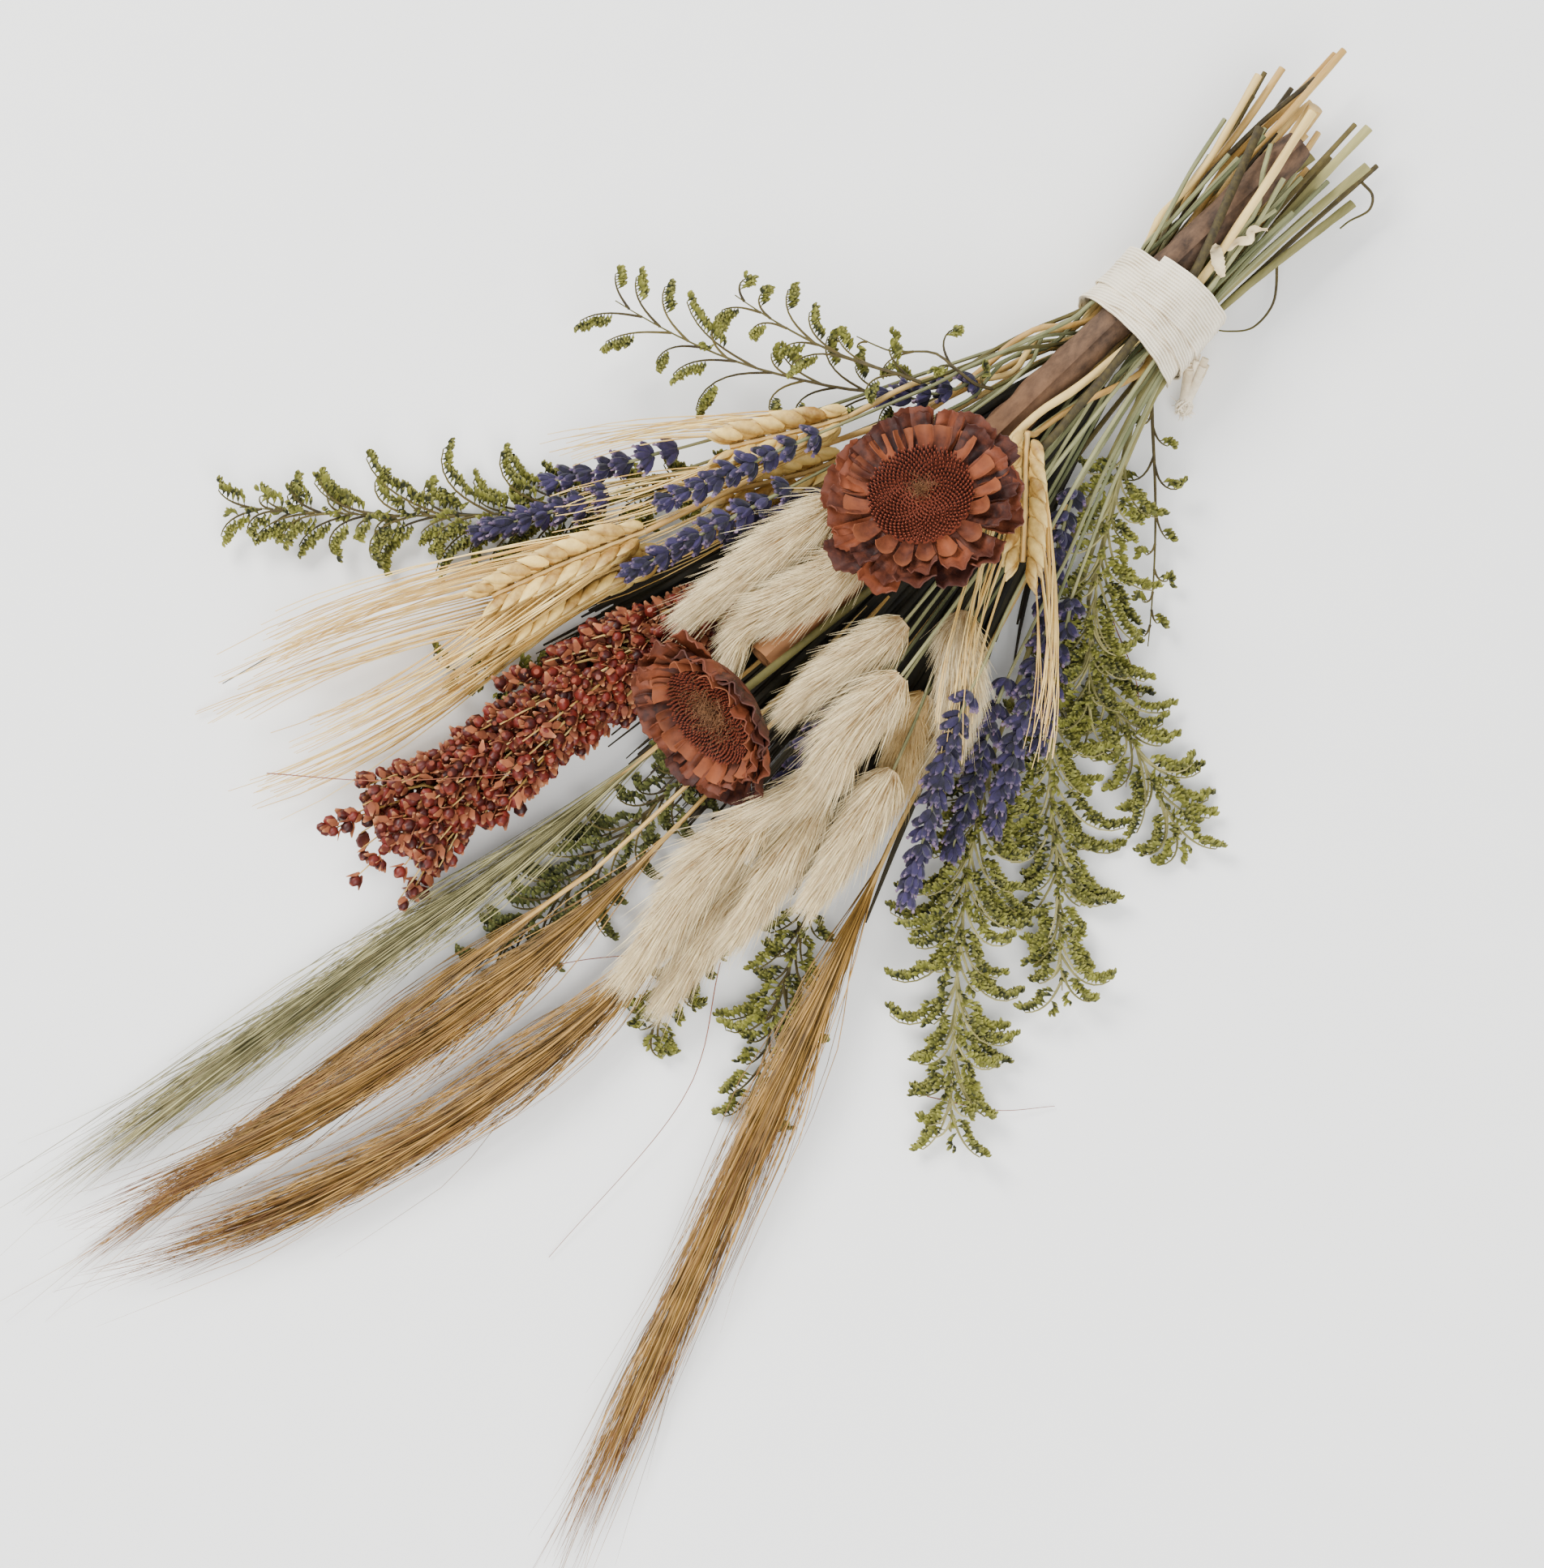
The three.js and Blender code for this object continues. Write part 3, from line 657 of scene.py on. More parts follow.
def dress(obj: bpy.types.Object, slot: str, *nodes: str) -> bpy.types.Object:
    """Gives a finished piece its body and hides the nodes that it stands for."""
    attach(obj, "root")
    if nodes:
        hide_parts(*nodes)
    log.info("%s: %d faces", obj.name, len(obj.data.polygons))
    return obj


# ---- The plants ----


@dataclass
class Plant:
    """A stem with a head, grown along the centreline of its solid.

    Attributes:
        kind: The kind of plant, which is also the first part of the node's name.
        number: Which plant of its kind it is.
        stem_radius: The stem's radius at its cut end.
        head_rings: How many rings of the solid are its head's.
        stem_ink: The stem's finish.
        knuckles: Where the stem has knuckles, as shares of its length.
    """

    kind: str = ""
    number: int = 1
    stem_radius: float = 1.0
    head_rings: int = 8
    stem_ink: Ink = Ink.STRAW_STEM
    knuckles: tuple[float, ...] = ()
    head: Line = field(init=False)
    stem: Line = field(init=False)

    def __post_init__(self) -> None:
        """Reads the route and seeds the random numbers."""
        self.node = f"{self.kind}_{self.number}"
        self.random = np.random.default_rng(1000 + 37 * self.number + len(self.kind) * 101)
        stem, head = read_route(self.node, self.head_rings)
        self.stem = Line(smooth_line(stem, max(12, len(stem) * 3)))
        if len(head) > 1:
            self.head = Line(smooth_line(head, 40))
        self.thicket = Thicket()

    def wander(self, count: int, low: float = 0.0, high: float = 1.0) -> Array:
        """Random numbers between two values."""
        return self.random.uniform(low, high, count)

    def add_stem(self, sides: int = 6, end: float = 0.6, flat: float = 1.0) -> None:
        """Adds the stem as one tapering tube with its knuckles.

        Args:
            sides: How many sides the tube has.
            end: The radius at the head as a share of the cut end's.
            flat: Its upright thickness as a share of its width.
        """
        share = np.linspace(0, 1, len(self.stem.points))
        radius = self.stem_radius * (0.95 + (end - 0.95) * share)
        for knuckle in self.knuckles:
            radius = radius * (1 + 0.3 * np.exp(-(((share - knuckle) / 0.02) ** 2)))
        radius = radius * (1 + 0.05 * np.sin(share * 60 + self.number))
        tint = np.array([self.wander(1)[0]])
        self.thicket.blades(self.stem.points[None], radius[None], sides, self.stem_ink, tint, flat)

    def add_rachis(
        self, reach: float, thick: float, thin: float, count: int, sides: int, tint: float
    ) -> None:
        """Carries the stem on as a thin line through the head.

        Args:
            reach: How far it goes, as a share of the head.
            thick: Its radius at the stem.
            thin: Its radius at its tip.
            count: How many points it has.
            sides: How many sides it has.
            tint: Its tint.
        """
        line, _, _, _ = self.head.at(np.linspace(0, reach, count))
        radii = np.linspace(thick, thin, count)
        self.thicket.blades(line[None], radii[None], sides, self.stem_ink, np.array([tint]))

    def finish(self) -> bpy.types.Object:
        """Makes the plant one mesh and dresses it."""
        return dress(self.thicket.harvest(f"{self.node}_plant"), self.kind, self.node)


@dataclass
class BunnyTail(Plant):
    """A bunny tail grass: a soft egg of silky hairs.

    Attributes:
        girth: The size that the core's half-width is worked out from.
        hairs: How many hairs it has.
        loose_share: The share of them that stand out further.
        hair_ink: Their finish.
    """

    kind: str = "bunny_tail"
    stem_radius: float = 0.85
    stem_ink: Ink = Ink.GREEN_STEM
    girth: float = 7.8
    hairs: int = 3900
    loose_share: float = 0.12
    hair_ink: Ink = Ink.BUNNY_HAIR

    def outline(self, share: Array) -> Array:
        """The core's half-width along the head."""
        return self.girth * 0.66 * np.sin(math.pi * np.clip(share * 0.92 + 0.05, 0, 1) ** 0.62) ** 0.8

    def build(self) -> bpy.types.Object:
        """Grows the stem, the core and the hairs."""
        self.add_stem()
        share = np.linspace(0.01, 0.88, 14)
        core, _, _, _ = self.head.at(share)
        radius = np.maximum(self.outline(share), 0.4)
        self.thicket.blades(core[None], radius[None], 10, Ink.BUNNY_CORE, np.array([0.5]))
        n = self.hairs
        foot_share = self.wander(n, 0.0, 0.9) ** 0.9
        angle = self.wander(n, 0, 2 * math.pi)
        point, along, side, upright = self.head.at(foot_share)
        out = around(angle, side, upright)
        foot = point + out * (self.outline(foot_share) * 0.92)[:, None]
        length = self.head.length * self.wander(n, 0.12, 0.27)
        rise = np.interp(foot_share, [0, 0.15, 0.6, 1], [1.0, 0.55, 0.3, 0.16]) * self.wander(n, 0.5, 1.7)
        loose = self.random.random(n) < self.loose_share
        rise, length = np.where(loose, rise * 1.8, rise), np.where(loose, length * 1.25, length)
        swirl = np.cross(along, out) * self.wander(n, -0.25, 0.25)[:, None]
        way = unit(along + out * rise[:, None] + swirl)
        bend = unit(along - out * self.wander(n, 0.0, 0.3)[:, None])
        steps = np.array([0, 0.5, 1.0])
        shape = way[:, None] * steps[:, None] * 0.75 + bend[:, None] * (steps**2)[:, None] * 0.4
        lines = foot[:, None] + shape * length[:, None, None]
        radii = np.outer(self.wander(n, 0.08, 0.17), [1.0, 0.75, 0.12])
        tint = np.clip(0.5 + 0.12 * np.sin(angle * 5 + foot_share * 14) + self.wander(n, -0.5, 0.5), 0, 1)
        self.thicket.blades(lines, radii, 3, self.hair_ink, tint)
        return self.finish()


@dataclass
class Lavender(Plant):
    """A lavender spike: whorls of plump ribbed calyces.

    Attributes:
        whorl_gap: The distance between whorls.
        calyces: How many calyces a whorl has.
        calyx_foot: How far a calyx stands from the middle line.
        calyx_height: How far up a calyx its corolla sits.
        open_share: The share of the calyces that hold a corolla.
        calyx: The calyx's shape.
        flake: The corolla's shape.
    """

    kind: str = "lavender"
    stem_radius: float = 0.9
    stem_ink: Ink = Ink.GREEN_STEM
    head_rings: int = 9
    whorl_gap: float = 6.2
    calyces: int = 13
    calyx_foot: float = 0.8
    calyx_height: float = 6.8
    open_share: float = 0.4
    calyx: Seedling | None = None
    flake: Seedling | None = None

    def build(self) -> bpy.types.Object:
        """Grows the stem and the whorls."""
        self.add_stem()
        self.add_rachis(0.95, 0.7, 0.4, 14, 6, 0.4)
        whorls = max(5, round(self.head.length / self.whorl_gap))
        place = (np.arange(whorls) / (whorls - 1)) ** 0.85 * 0.92
        share = np.repeat(place, self.calyces) + self.wander(whorls * self.calyces, -0.026, 0.026)
        n = len(share)
        angle = np.arange(n) * LEAF_TURN + self.wander(n, -0.3, 0.3)
        point, along, side, upright = self.head.at(np.maximum(share, 0))
        out = around(angle, side, upright)
        spread = np.interp(share, [0, 0.6, 0.95], [1.0, 0.9, 0.45]) * self.wander(n, 0.4, 1.35)
        way = unit(along + out * spread[:, None])
        size = self.wander(n, 0.66, 0.9) * np.interp(share, [0, 0.7, 1], [1, 1, 0.85])
        tint = self.wander(n) * 0.85
        foot = point + out * self.calyx_foot
        self.thicket.plant(self.calyx, foot, way, out, size, Ink.CALYX, tint)
        on = self.random.random(n) < self.open_share
        tip = foot + way * (self.calyx_height * size)[:, None]
        self.thicket.plant(self.flake, tip[on], way[on], along[on], size[on], Ink.COROLLA, tint[on])
        return self.finish()


@dataclass
class Wheat(Plant):
    """Bearded wheat: a plaited ear of spikelets with long awns.

    Attributes:
        ear_share: The ear's length as a share of the head's.
        row_gap: The distance between rows of husks.
        glume_height: How far up a husk its awn starts.
        glume_foot: How far a husk stands from the middle line.
        awn_spread: How far the awns bend sideways, as a share of their length.
        glume: The husk's shape.
    """

    kind: str = "wheat"
    stem_radius: float = 1.4
    head_rings: int = 9
    ear_share: float = 0.42
    row_gap: float = 3.1
    glume_height: float = 8.4
    glume_foot: float = 1.9
    awn_spread: float = 0.1
    knuckles: tuple[float, ...] = (0.3,)
    glume: Seedling | None = None

    def build(self) -> bpy.types.Object:
        """Grows the stem, the spikelets and the awns."""
        self.add_stem(8, 0.7)
        ear = self.head.length * self.ear_share
        rows = int(ear / self.row_gap)
        self.add_rachis(self.ear_share, 1.0, 1.0, 10, 6, 0.5)
        share = np.repeat(np.linspace(0.0, self.ear_share * 0.97, rows), 5)
        n = len(share)
        flip = np.where((np.arange(n) // 5) % 2 == 0, 1.0, -1.0)
        lean = np.tile([-0.9, 0.9, -0.35, 0.35, 0.0], rows)
        lift = np.tile([0.0, 0.0, 2.0, 2.0, 3.0], rows)
        point, along, side, upright = self.head.at(share)
        out = side * flip[:, None] + upright * lean[:, None]
        taper = np.interp(share / self.ear_share, [0, 0.15, 0.8, 1], [0.85, 1.15, 1.1, 0.8])
        way = unit(along + side * (flip * 0.5 * taper)[:, None] + upright * lean[:, None] * 0.42)
        foot = point + out * self.glume_foot + along * lift[:, None]
        size = taper * self.wander(n, 0.95, 1.15)
        self.thicket.plant(self.glume, foot, way, unit(out), size, Ink.GLUME, self.wander(n))
        bearded = np.tile([False, False, True, True, True], rows)
        self.add_awns(foot[bearded], way[bearded], size[bearded], share[bearded], ear)
        return self.finish()

    def add_awns(self, foot: Array, way: Array, size: Array, share: Array, ear: float) -> None:
        """Adds the long stiff awns at the tips of the husks.

        Args:
            foot: The foot of each bearded husk.
            way: The way that it points.
            size: Its scale.
            share: How far along the head it is.
            ear: The length of the ear.
        """
        m = len(foot)
        start = foot + way * (self.glume_height * size)[:, None]
        rest = (self.ear_share - share) * self.head.length * 0.6
        reach = (self.head.length - ear) * self.wander(m, 0.7, 1.15) + rest
        steps = np.linspace(0, 1, 7)
        ends, ahead, _, _ = self.head.at(np.ones(m))
        straight = unit(way * 0.5 + ahead * 0.5)
        level = np.cross(straight, UP) * self.wander(m, -self.awn_spread, self.awn_spread)[:, None]
        sway = level + UP * self.wander(m, -0.05, 0.07)[:, None]
        shape = straight[:, None] * steps[:, None] + sway[:, None] * (steps**2)[:, None]
        lines = start[:, None] + shape * reach[:, None, None]
        target = ends[:, None] + (lines - lines[:, -1:]) * 0.4
        pull = (steps**2 * 0.4)[None, :, None]
        lines = lines * (1 - pull) + target * pull
        radii = np.outer(self.wander(m, 0.3, 0.42), np.linspace(1, 0.4, 7))
        self.thicket.blades(lines, radii, 3, Ink.AWN, self.wander(m))


@dataclass
class Sorghum(Plant):
    """A sorghum head: crowded branches of hard grains in papery husks.

    Attributes:
        branches: How many branches it has.
        each: How many grains a branch has.
        flatness: The head's upright thickness as a share of its width.
        grain: The grain's shape.
        husk: The husk's shape.
    """

    kind: str = "sorghum"
    stem_radius: float = 2.8
    head_rings: int = 10
    knuckles: tuple[float, ...] = (0.25, 0.6)
    branches: int = 132
    each: int = 11
    flatness: float = 0.6
    grain: Seedling | None = None
    husk: Seedling | None = None

    def build(self) -> bpy.types.Object:
        """Grows the stem, the branches and the grains."""
        self.add_stem(12)
        self.add_rachis(0.9, 1.7, 0.5, 16, 8, 0.4)
        b = self.branches
        share = np.linspace(0.0, 0.8, b)
        angle = np.arange(b) * LEAF_TURN
        point, along, side, upright = self.head.at(share)
        wide = np.interp(share, [0, 0.3, 0.6, 0.7, 0.8], [10, 18, 17, 18, 24])
        out = around(angle, side, upright * self.flatness)
        reach = np.interp(share, [0, 0.4, 0.8], [30, 36, 32]) * self.wander(b, 0.7, 1.25)
        steps = np.linspace(0, 1, 6)
        spread = (wide * self.wander(b, 0.35, 1.1))[:, None] * np.sqrt(steps)[None]
        lines = point[:, None] + along[:, None] * (steps * reach[:, None])[..., None]
        lines = lines + out[:, None] * spread[..., None]
        radii = np.outer(np.full(b, 0.45), np.linspace(1, 0.5, 6))
        self.thicket.blades(lines, radii, 4, self.stem_ink, self.wander(b))
        pick = self.wander(b * self.each, 0.25, 1.0)
        foot, _ = on_lines(lines, np.repeat(np.arange(b), self.each), pick)
        m = len(foot)
        ahead = np.repeat(along, self.each, axis=0)
        off = unit(self.random.normal(size=(m, 3)) + np.repeat(out, self.each, axis=0) * 0.9)
        way = unit(ahead * 0.8 + off)
        size = self.wander(m, 0.9, 1.25)
        spot = foot + off * self.wander(m, 0.8, 2.6)[:, None]
        self.thicket.plant(self.grain, spot, way, off, size, Ink.GRAIN, self.wander(m))
        for turn in (-1, 1):
            across = unit(np.cross(way, off)) * turn
            husk_foot, husk_way = spot - way * 0.4 + across, unit(way + across * 0.4)
            self.thicket.plant(self.husk, husk_foot, husk_way, across, size, Ink.HUSK, self.wander(m))
        return self.finish()


@dataclass
class BrushGrass(Plant):
    """A brush grass plume: long fine straight bristles that gather in wisps and end unevenly.

    Attributes:
        bristles: How many bristles it has.
        strays: How many more stray away from it.
        wisps: How many wisps the bristles gather in.
        wide: Its half-width where it is fullest.
        ink: The bristles' finish.
    """

    kind: str = "brush_grass"
    stem_radius: float = 1.2
    head_rings: int = 10
    bristles: int = 520
    strays: int = 26
    wisps: int = 7
    wide: float = 12.0
    ink: Ink = Ink.BRISTLE

    def build(self) -> bpy.types.Object:
        """Grows the stem, the bristles and a few strays."""
        self.add_stem()
        self.add_rachis(0.6, 0.9, 0.3, 14, 5, 0.3)
        n = self.bristles
        start = self.wander(n) ** 1.3 * 0.55
        finish = np.minimum(start + self.wander(n, 0.3, 0.55), self.wander(n, 0.8, 1.04))
        reach = np.clip(np.abs(self.random.normal(scale=0.5, size=n)), 0.05, 1.05)
        wisps = self.random.normal(scale=self.wide * 0.34, size=self.wisps)
        drift = wisps[self.random.integers(0, self.wisps, n)] + self.random.normal(scale=1.3, size=n)
        self.bristle(start, finish, reach, drift, self.wander(n, 0.15, 0.26))
        n = self.strays
        start = self.wander(n, 0.15, 0.6)
        drift = self.random.choice([-1.0, 1.0], n) * self.wander(n, 0.4, 1.5) * self.wide
        finish = start + self.wander(n, 0.34, 0.5)
        self.bristle(start, finish, self.wander(n, 0.6, 1.2), drift, np.full(n, 0.13))
        return self.finish()

    def bristle(self, start: Array, finish: Array, reach: Array, drift: Array, thick: Array) -> None:
        """Adds bristles that lie along the plume.

        Args:
            start: Where each leaves the middle, as a share of the head.
            finish: Where it ends, as a share of the head.
            reach: How far out it lies, as a share of the plume's half-width.
            drift: How far its end strays sideways.
            thick: Its radius.
        """
        n = len(start)
        steps = np.linspace(0, 1, 8)
        share = start[:, None] + (finish - start)[:, None] * steps
        point, _, side, upright = (v.reshape(n, 8, 3) for v in self.head.at(share.ravel()))
        angle = self.wander(n, 0, 2 * math.pi)
        full = np.interp(share, [0, 0.12, 0.35, 0.7, 1.0], [0.3, 0.75, 1.0, 0.72, 0.42])
        radius = self.wide * full * np.minimum(1, steps * 1.9)[None] * reach[:, None]
        across = np.cos(angle)[:, None] * radius + drift[:, None] * (share * steps**1.3)
        over = 0.5 * np.sin(angle)[:, None] * radius
        lines = point + side * across[..., None] + upright * over[..., None]
        radii = np.outer(thick, [0.8, 1, 1, 0.95, 0.85, 0.7, 0.5, 0.2])
        self.thicket.blades(lines, radii, 3, self.ink, self.wander(n))


@dataclass
class SeaLavender(Plant):
    """A sea lavender spray: wiry arching branches with combed rows of tiny florets.

    Attributes:
        wide: The reach of a middling branch.
        lift: How strongly the branches rise or dip.
        branch_gap: The distance between branches.
        stem_end: The stem's radius at the spray as a share of the cut end's.
        stem_flat: The stem's upright thickness as a share of its width.
        twig_gap: The distance between the twigs of a branch.
        twig: The length of a long twig.
        florets: How many florets a twig has.
        bare: How much more of each branch than usual has no twigs, as a share.
        ink: The florets' finish.
        bud: The floret's shape.
    """

    kind: str = "sea_lavender"
    stem_radius: float = 1.0
    stem_ink: Ink = Ink.DARK_TWIG
    wide: float = 20.0
    lift: float = 0.8
    branch_gap: float = 6.0
    stem_end: float = 0.7
    stem_flat: float = 1.0
    twig_gap: float = 2.0
    twig: float = 6.6
    florets: int = 8
    bare: float = 0.0
    ink: Ink = Ink.FLORET
    bud: Seedling | None = None

    def build(self) -> bpy.types.Object:
        """Grows the stem, the branches, the twigs and the florets."""
        self.add_stem(6, self.stem_end, self.stem_flat)
        self.add_rachis(0.97, 0.7, 0.22, 16, 5, 0.4)
        count = max(6, int(self.head.length / self.branch_gap))
        for i in range(count):
            place = i + 0.5 + self.wander(1, -0.4, 0.4)[0]
            self.add_branch(place / count * 0.95, 1 if i % 2 == 0 else -1)
        return self.finish()

    def add_branch(self, share: float, turn: int) -> None:
        """Adds one arching branch with its twigs.

        Args:
            share: Where it leaves the spray's middle line.
            turn: Which side it is on, 1 or -1.
        """
        point, along, side, upright = (v[0] for v in self.head.at(np.array([share])))
        reach = self.wide * float(np.interp(share, [0, 0.25, 0.6, 1], [1.0, 1.5, 1.3, 0.7]))
        reach *= self.wander(1, 0.38, 1.2)[0]
        least = [0.08, 0.01, -0.2, self.bare]
        opening, curl, rise, bare = self.wander(4) * [0.4, 0.026, 0.5, 0.3] + least
        heading = turn * (opening + curl * np.arange(8) ** 2)
        way = around(heading, along, side) + upright * rise * self.lift
        branch = point + np.vstack([np.zeros(3), np.cumsum(unit(way), axis=0)]) * reach / 8
        radii = np.linspace(0.5, 0.22, 9)
        self.thicket.blades(branch[None], radii[None], 4, self.stem_ink, self.wander(1))
        twigs = max(3, int(reach / self.twig_gap))
        at = np.linspace(bare + 0.08, 1.0, twigs)
        foot, tangent = on_lines(branch[None], 0, at)
        inner = (np.arange(twigs) % 3 == 2) & (at < 0.5)
        normal = unit(np.cross(upright, tangent)) * np.where(inner, turn, -turn)[:, None]
        length = self.twig * self.wander(twigs, 0.55, 1.1) * np.linspace(1.1, 0.45, twigs)
        tilt = self.wander(twigs, -0.3, 0.6)
        steps = np.linspace(0, 1, 6)
        shape = tangent[:, None] * (0.55 * steps + 0.2 * steps**2)[:, None]
        shape = shape + normal[:, None] * (0.55 * np.sin(steps * 2.2))[:, None]
        shape = shape + upright * (steps * tilt[:, None])[..., None]
        lines = foot[:, None] + shape * length[:, None, None]
        radii = np.tile(np.linspace(0.2, 0.1, 6), (twigs, 1))
        self.thicket.blades(lines, radii, 3, self.stem_ink, self.wander(twigs))
        self.add_florets(lines, normal, upright, self.wander(1, -0.3, 0.3)[0])

    def add_florets(self, lines: Array, normal: Array, upright: Array, shade: float) -> None:
        """Adds two ranks of florets along the outer side of each twig.

        Args:
            lines: The twigs.
            normal: The way that each twig's outer side faces.
            upright: The direction up from the spray.
            shade: How much lighter or darker than the rest this branch is.
        """
        twigs, each = len(lines), self.florets
        row = np.repeat(np.arange(twigs), each)
        foot, ahead = on_lines(lines, row, np.tile(np.linspace(0.12, 1.0, each), twigs))
        rank = np.where(np.arange(twigs * each) % 2 == 0, 0.7, -0.35)[:, None]
        outward = unit(normal[row] + upright * (rank + self.wander(twigs * each, -0.25, 0.35)[:, None]))
        way = unit(ahead * 0.8 + outward * self.wander(twigs * each, 0.6, 1.1)[:, None])
        size = self.wander(twigs * each, 0.75, 1.2)
        tint = np.clip(self.wander(twigs * each) + shade, 0, 1)
        self.thicket.plant(self.bud, foot, way, outward, size, self.ink, tint)


@dataclass(frozen=True)
class BractRing:
    """One ring of a sugarbush head's bracts.

    Attributes:
        count: How many bracts it has.
        foot: How far their feet are from the middle.
        height: How high their feet are over the seed face.
        length: Their length.
        width: Their width.
        rise: How steeply they stand up, in radians.
        crumpled: Whether they are the ragged outer kind.
    """

    count: int
    foot: float
    height: float
    length: float
    width: float
    rise: float
    crumpled: bool


@dataclass(frozen=True)
class SeedFace:
    """The middle of a sugarbush's seed face, the way that it looks and two directions across it."""

    centre: Array
    normal: Array
    x: Array
    y: Array


@dataclass
class Sugarbush(Plant):
    """A sugarbush head: rings of square-ended bracts round a close spiral of seeds.

    Attributes:
        face_radius: The radius of the seed face.
        neck: How far under the face the head tips over.
        stalk_top: How far under the face the stalk ends.
        cup: The heights and radii of the cup behind the bracts.
        bed: The heights and radii of the dark bed under the seeds.
        seeds: How many seeds there are.
        seed_turn: The turn from one seed to the next, in radians.
        tip_over: How far the head tips away from the tie, in degrees.
        cupped: How much more the bracts stand up than in an open head, in radians.
        fuzz: How many short hairs there are.
        fuzz_radius: How far they spread.
        rings: The rings of bracts, from the outside in.
        bract: The ragged bract's shape.
        spoon: The smooth bract's shape.
        peg: The seed's shape.
    """

    kind: str = "sugarbush"
    stem_radius: float = 1.6
    head_rings: int = 0
    face_radius: float = 17.2
    neck: float = 8.0
    stalk_top: float = 14.0
    cup: tuple = ((-15, 3.0), (-13, 7.0), (-9, 13), (-5, 19), (-3.2, 20), (-2.2, 17.6))
    bed: tuple = ((-2.6, 17.3), (-1.5, 17.0))
    seeds: int = 600
    seed_turn: float = 2.39996
    tip_over: float = 0.0
    cupped: float = 0.0
    fuzz: int = 260
    fuzz_radius: float = 3.2
    rings: tuple[BractRing, ...] = (
        BractRing(15, 17.5, -5.0, 16.0, 14.0, 0.02, True),
        BractRing(16, 17.0, -3.4, 13.5, 10.5, 0.14, True),
        BractRing(17, 16.6, -1.8, 9.0, 6.8, 0.1, False),
    )
    bract: Seedling | None = None
    spoon: Seedling | None = None
    peg: Seedling | None = None

    def face_of(self) -> tuple[Array, Array]:
        """Finds the middle and the direction of the solid's largest flat face."""
        mesh = bmesh.new()
        mesh.from_mesh(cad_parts[self.node].data)
        groups: dict[tuple, list] = {}
        for f in mesh.faces:
            n = f.normal
            key = (round(n.x, 2), round(n.y, 2), round(n.z, 2), round(n.dot(f.verts[0].co), 3))
            groups.setdefault(key, []).append(f)
        flat = max(groups.values(), key=lambda faces: sum(f.calc_area() for f in faces))
        area = sum(f.calc_area() for f in flat)
        centre = sum((f.calc_center_median() * f.calc_area() for f in flat), Vector()) / area
        normal = flat[0].normal.copy()
        mesh.free()
        return np.array(centre) / MM, np.array(normal)

    def build(self) -> bpy.types.Object:
        """Grows the stalk, the cup, the bracts, the seeds and the fuzz."""
        centre, normal = self.face_of()
        pivot = centre - normal * self.neck
        tip = Matrix.Rotation(math.radians(self.tip_over), 3, "X")
        normal = np.array(tip @ Vector(normal))
        centre = pivot + normal * self.neck
        self.add_stalk(centre - normal * self.stalk_top, normal)
        x = unit(np.cross(normal, [0.3, 1, 0.1]))
        face = SeedFace(centre, normal, x, np.cross(normal, x))
        for profile, ink, tint in ((self.cup, Ink.BRACT, 0.35), (self.bed, Ink.SEED_FACE, 0.0)):
            outline = np.array(profile)
            line = centre + outline[:, :1] * normal
            self.thicket.blades(line[None], outline[None, :, 1], 28, ink, np.array([tint]))
        for ring in self.rings:
            self.add_ring(ring, face)
        self.add_seeds(face)
        self.add_fuzz(face)
        return self.finish()

    def add_stalk(self, foot: Array, normal: Array) -> None:
        """Adds the stalk, which curves into the foot of the cup."""
        stalk = self.stem.points[: -max(4, len(self.stem.points) // 8)]
        route = np.vstack([stalk[:: max(1, len(stalk) // 12)], foot - normal * 3, foot + normal * 2])
        self.stem = Line(smooth_line(route, 44))
        self.add_stem(10, 0.85)

    def add_ring(self, ring: BractRing, face: SeedFace) -> None:
        """Adds one ring of bracts, turned by its own sizes so that the rings don't line up."""
        n = ring.count
        turn = np.arange(n) * 2 * math.pi / n + self.wander(n, -0.08, 0.08) + ring.foot + ring.length
        out = around(turn, face.x, face.y)
        foot = face.centre + out * ring.foot + face.normal * ring.height
        rise = ring.rise + self.cupped + self.wander(n, -0.2, 0.22)
        way = out * np.cos(rise)[:, None] + face.normal * np.sin(rise)[:, None]
        across = np.cross(face.normal, out) + face.normal * self.wander(n, -0.3, 0.3)[:, None]
        seed, thick, ink = self.spoon, 0.8, Ink.INNER_BRACT
        if ring.crumpled:
            seed, thick, ink = self.bract, 1.0, Ink.BRACT
        wide = self.wander(n, 0.85, 1.15) * ring.width / LEAF_WIDTH
        long = self.wander(n, 0.85, 1.15) * ring.length / LEAF_LENGTH
        size = np.stack([wide, np.full(n, thick), long], axis=1)
        self.thicket.plant(seed, foot, way, across, size, ink, self.wander(n))

    def add_seeds(self, face: SeedFace) -> None:
        """Adds the seeds in their spiral."""
        n, edge = self.seeds, self.face_radius
        k = np.arange(n)
        r = edge * 0.99 * np.sqrt((k + 0.5) / n)
        out = around(k * self.seed_turn, face.x, face.y)
        dish = -1.1 * np.cos(math.pi * r / edge / 1.6)
        foot = face.centre + out * r[:, None] + face.normal * (dish - 0.4)[:, None]
        tilt = self.random.normal(scale=0.05, size=(n, 3))
        way = unit(face.normal + out * (0.3 * r / edge)[:, None] + tilt)
        size = np.interp(r, [0, 6, edge], [0.6, 0.82, 1.02]) * self.wander(n, 0.92, 1.08)
        tint = np.interp(r, [0, 5, 10, edge], [0.0, 0.2, 0.55, 0.75]) + self.wander(n, -0.12, 0.12)
        self.thicket.plant(self.peg, foot, way, out, size, Ink.SEED_FACE, tint)

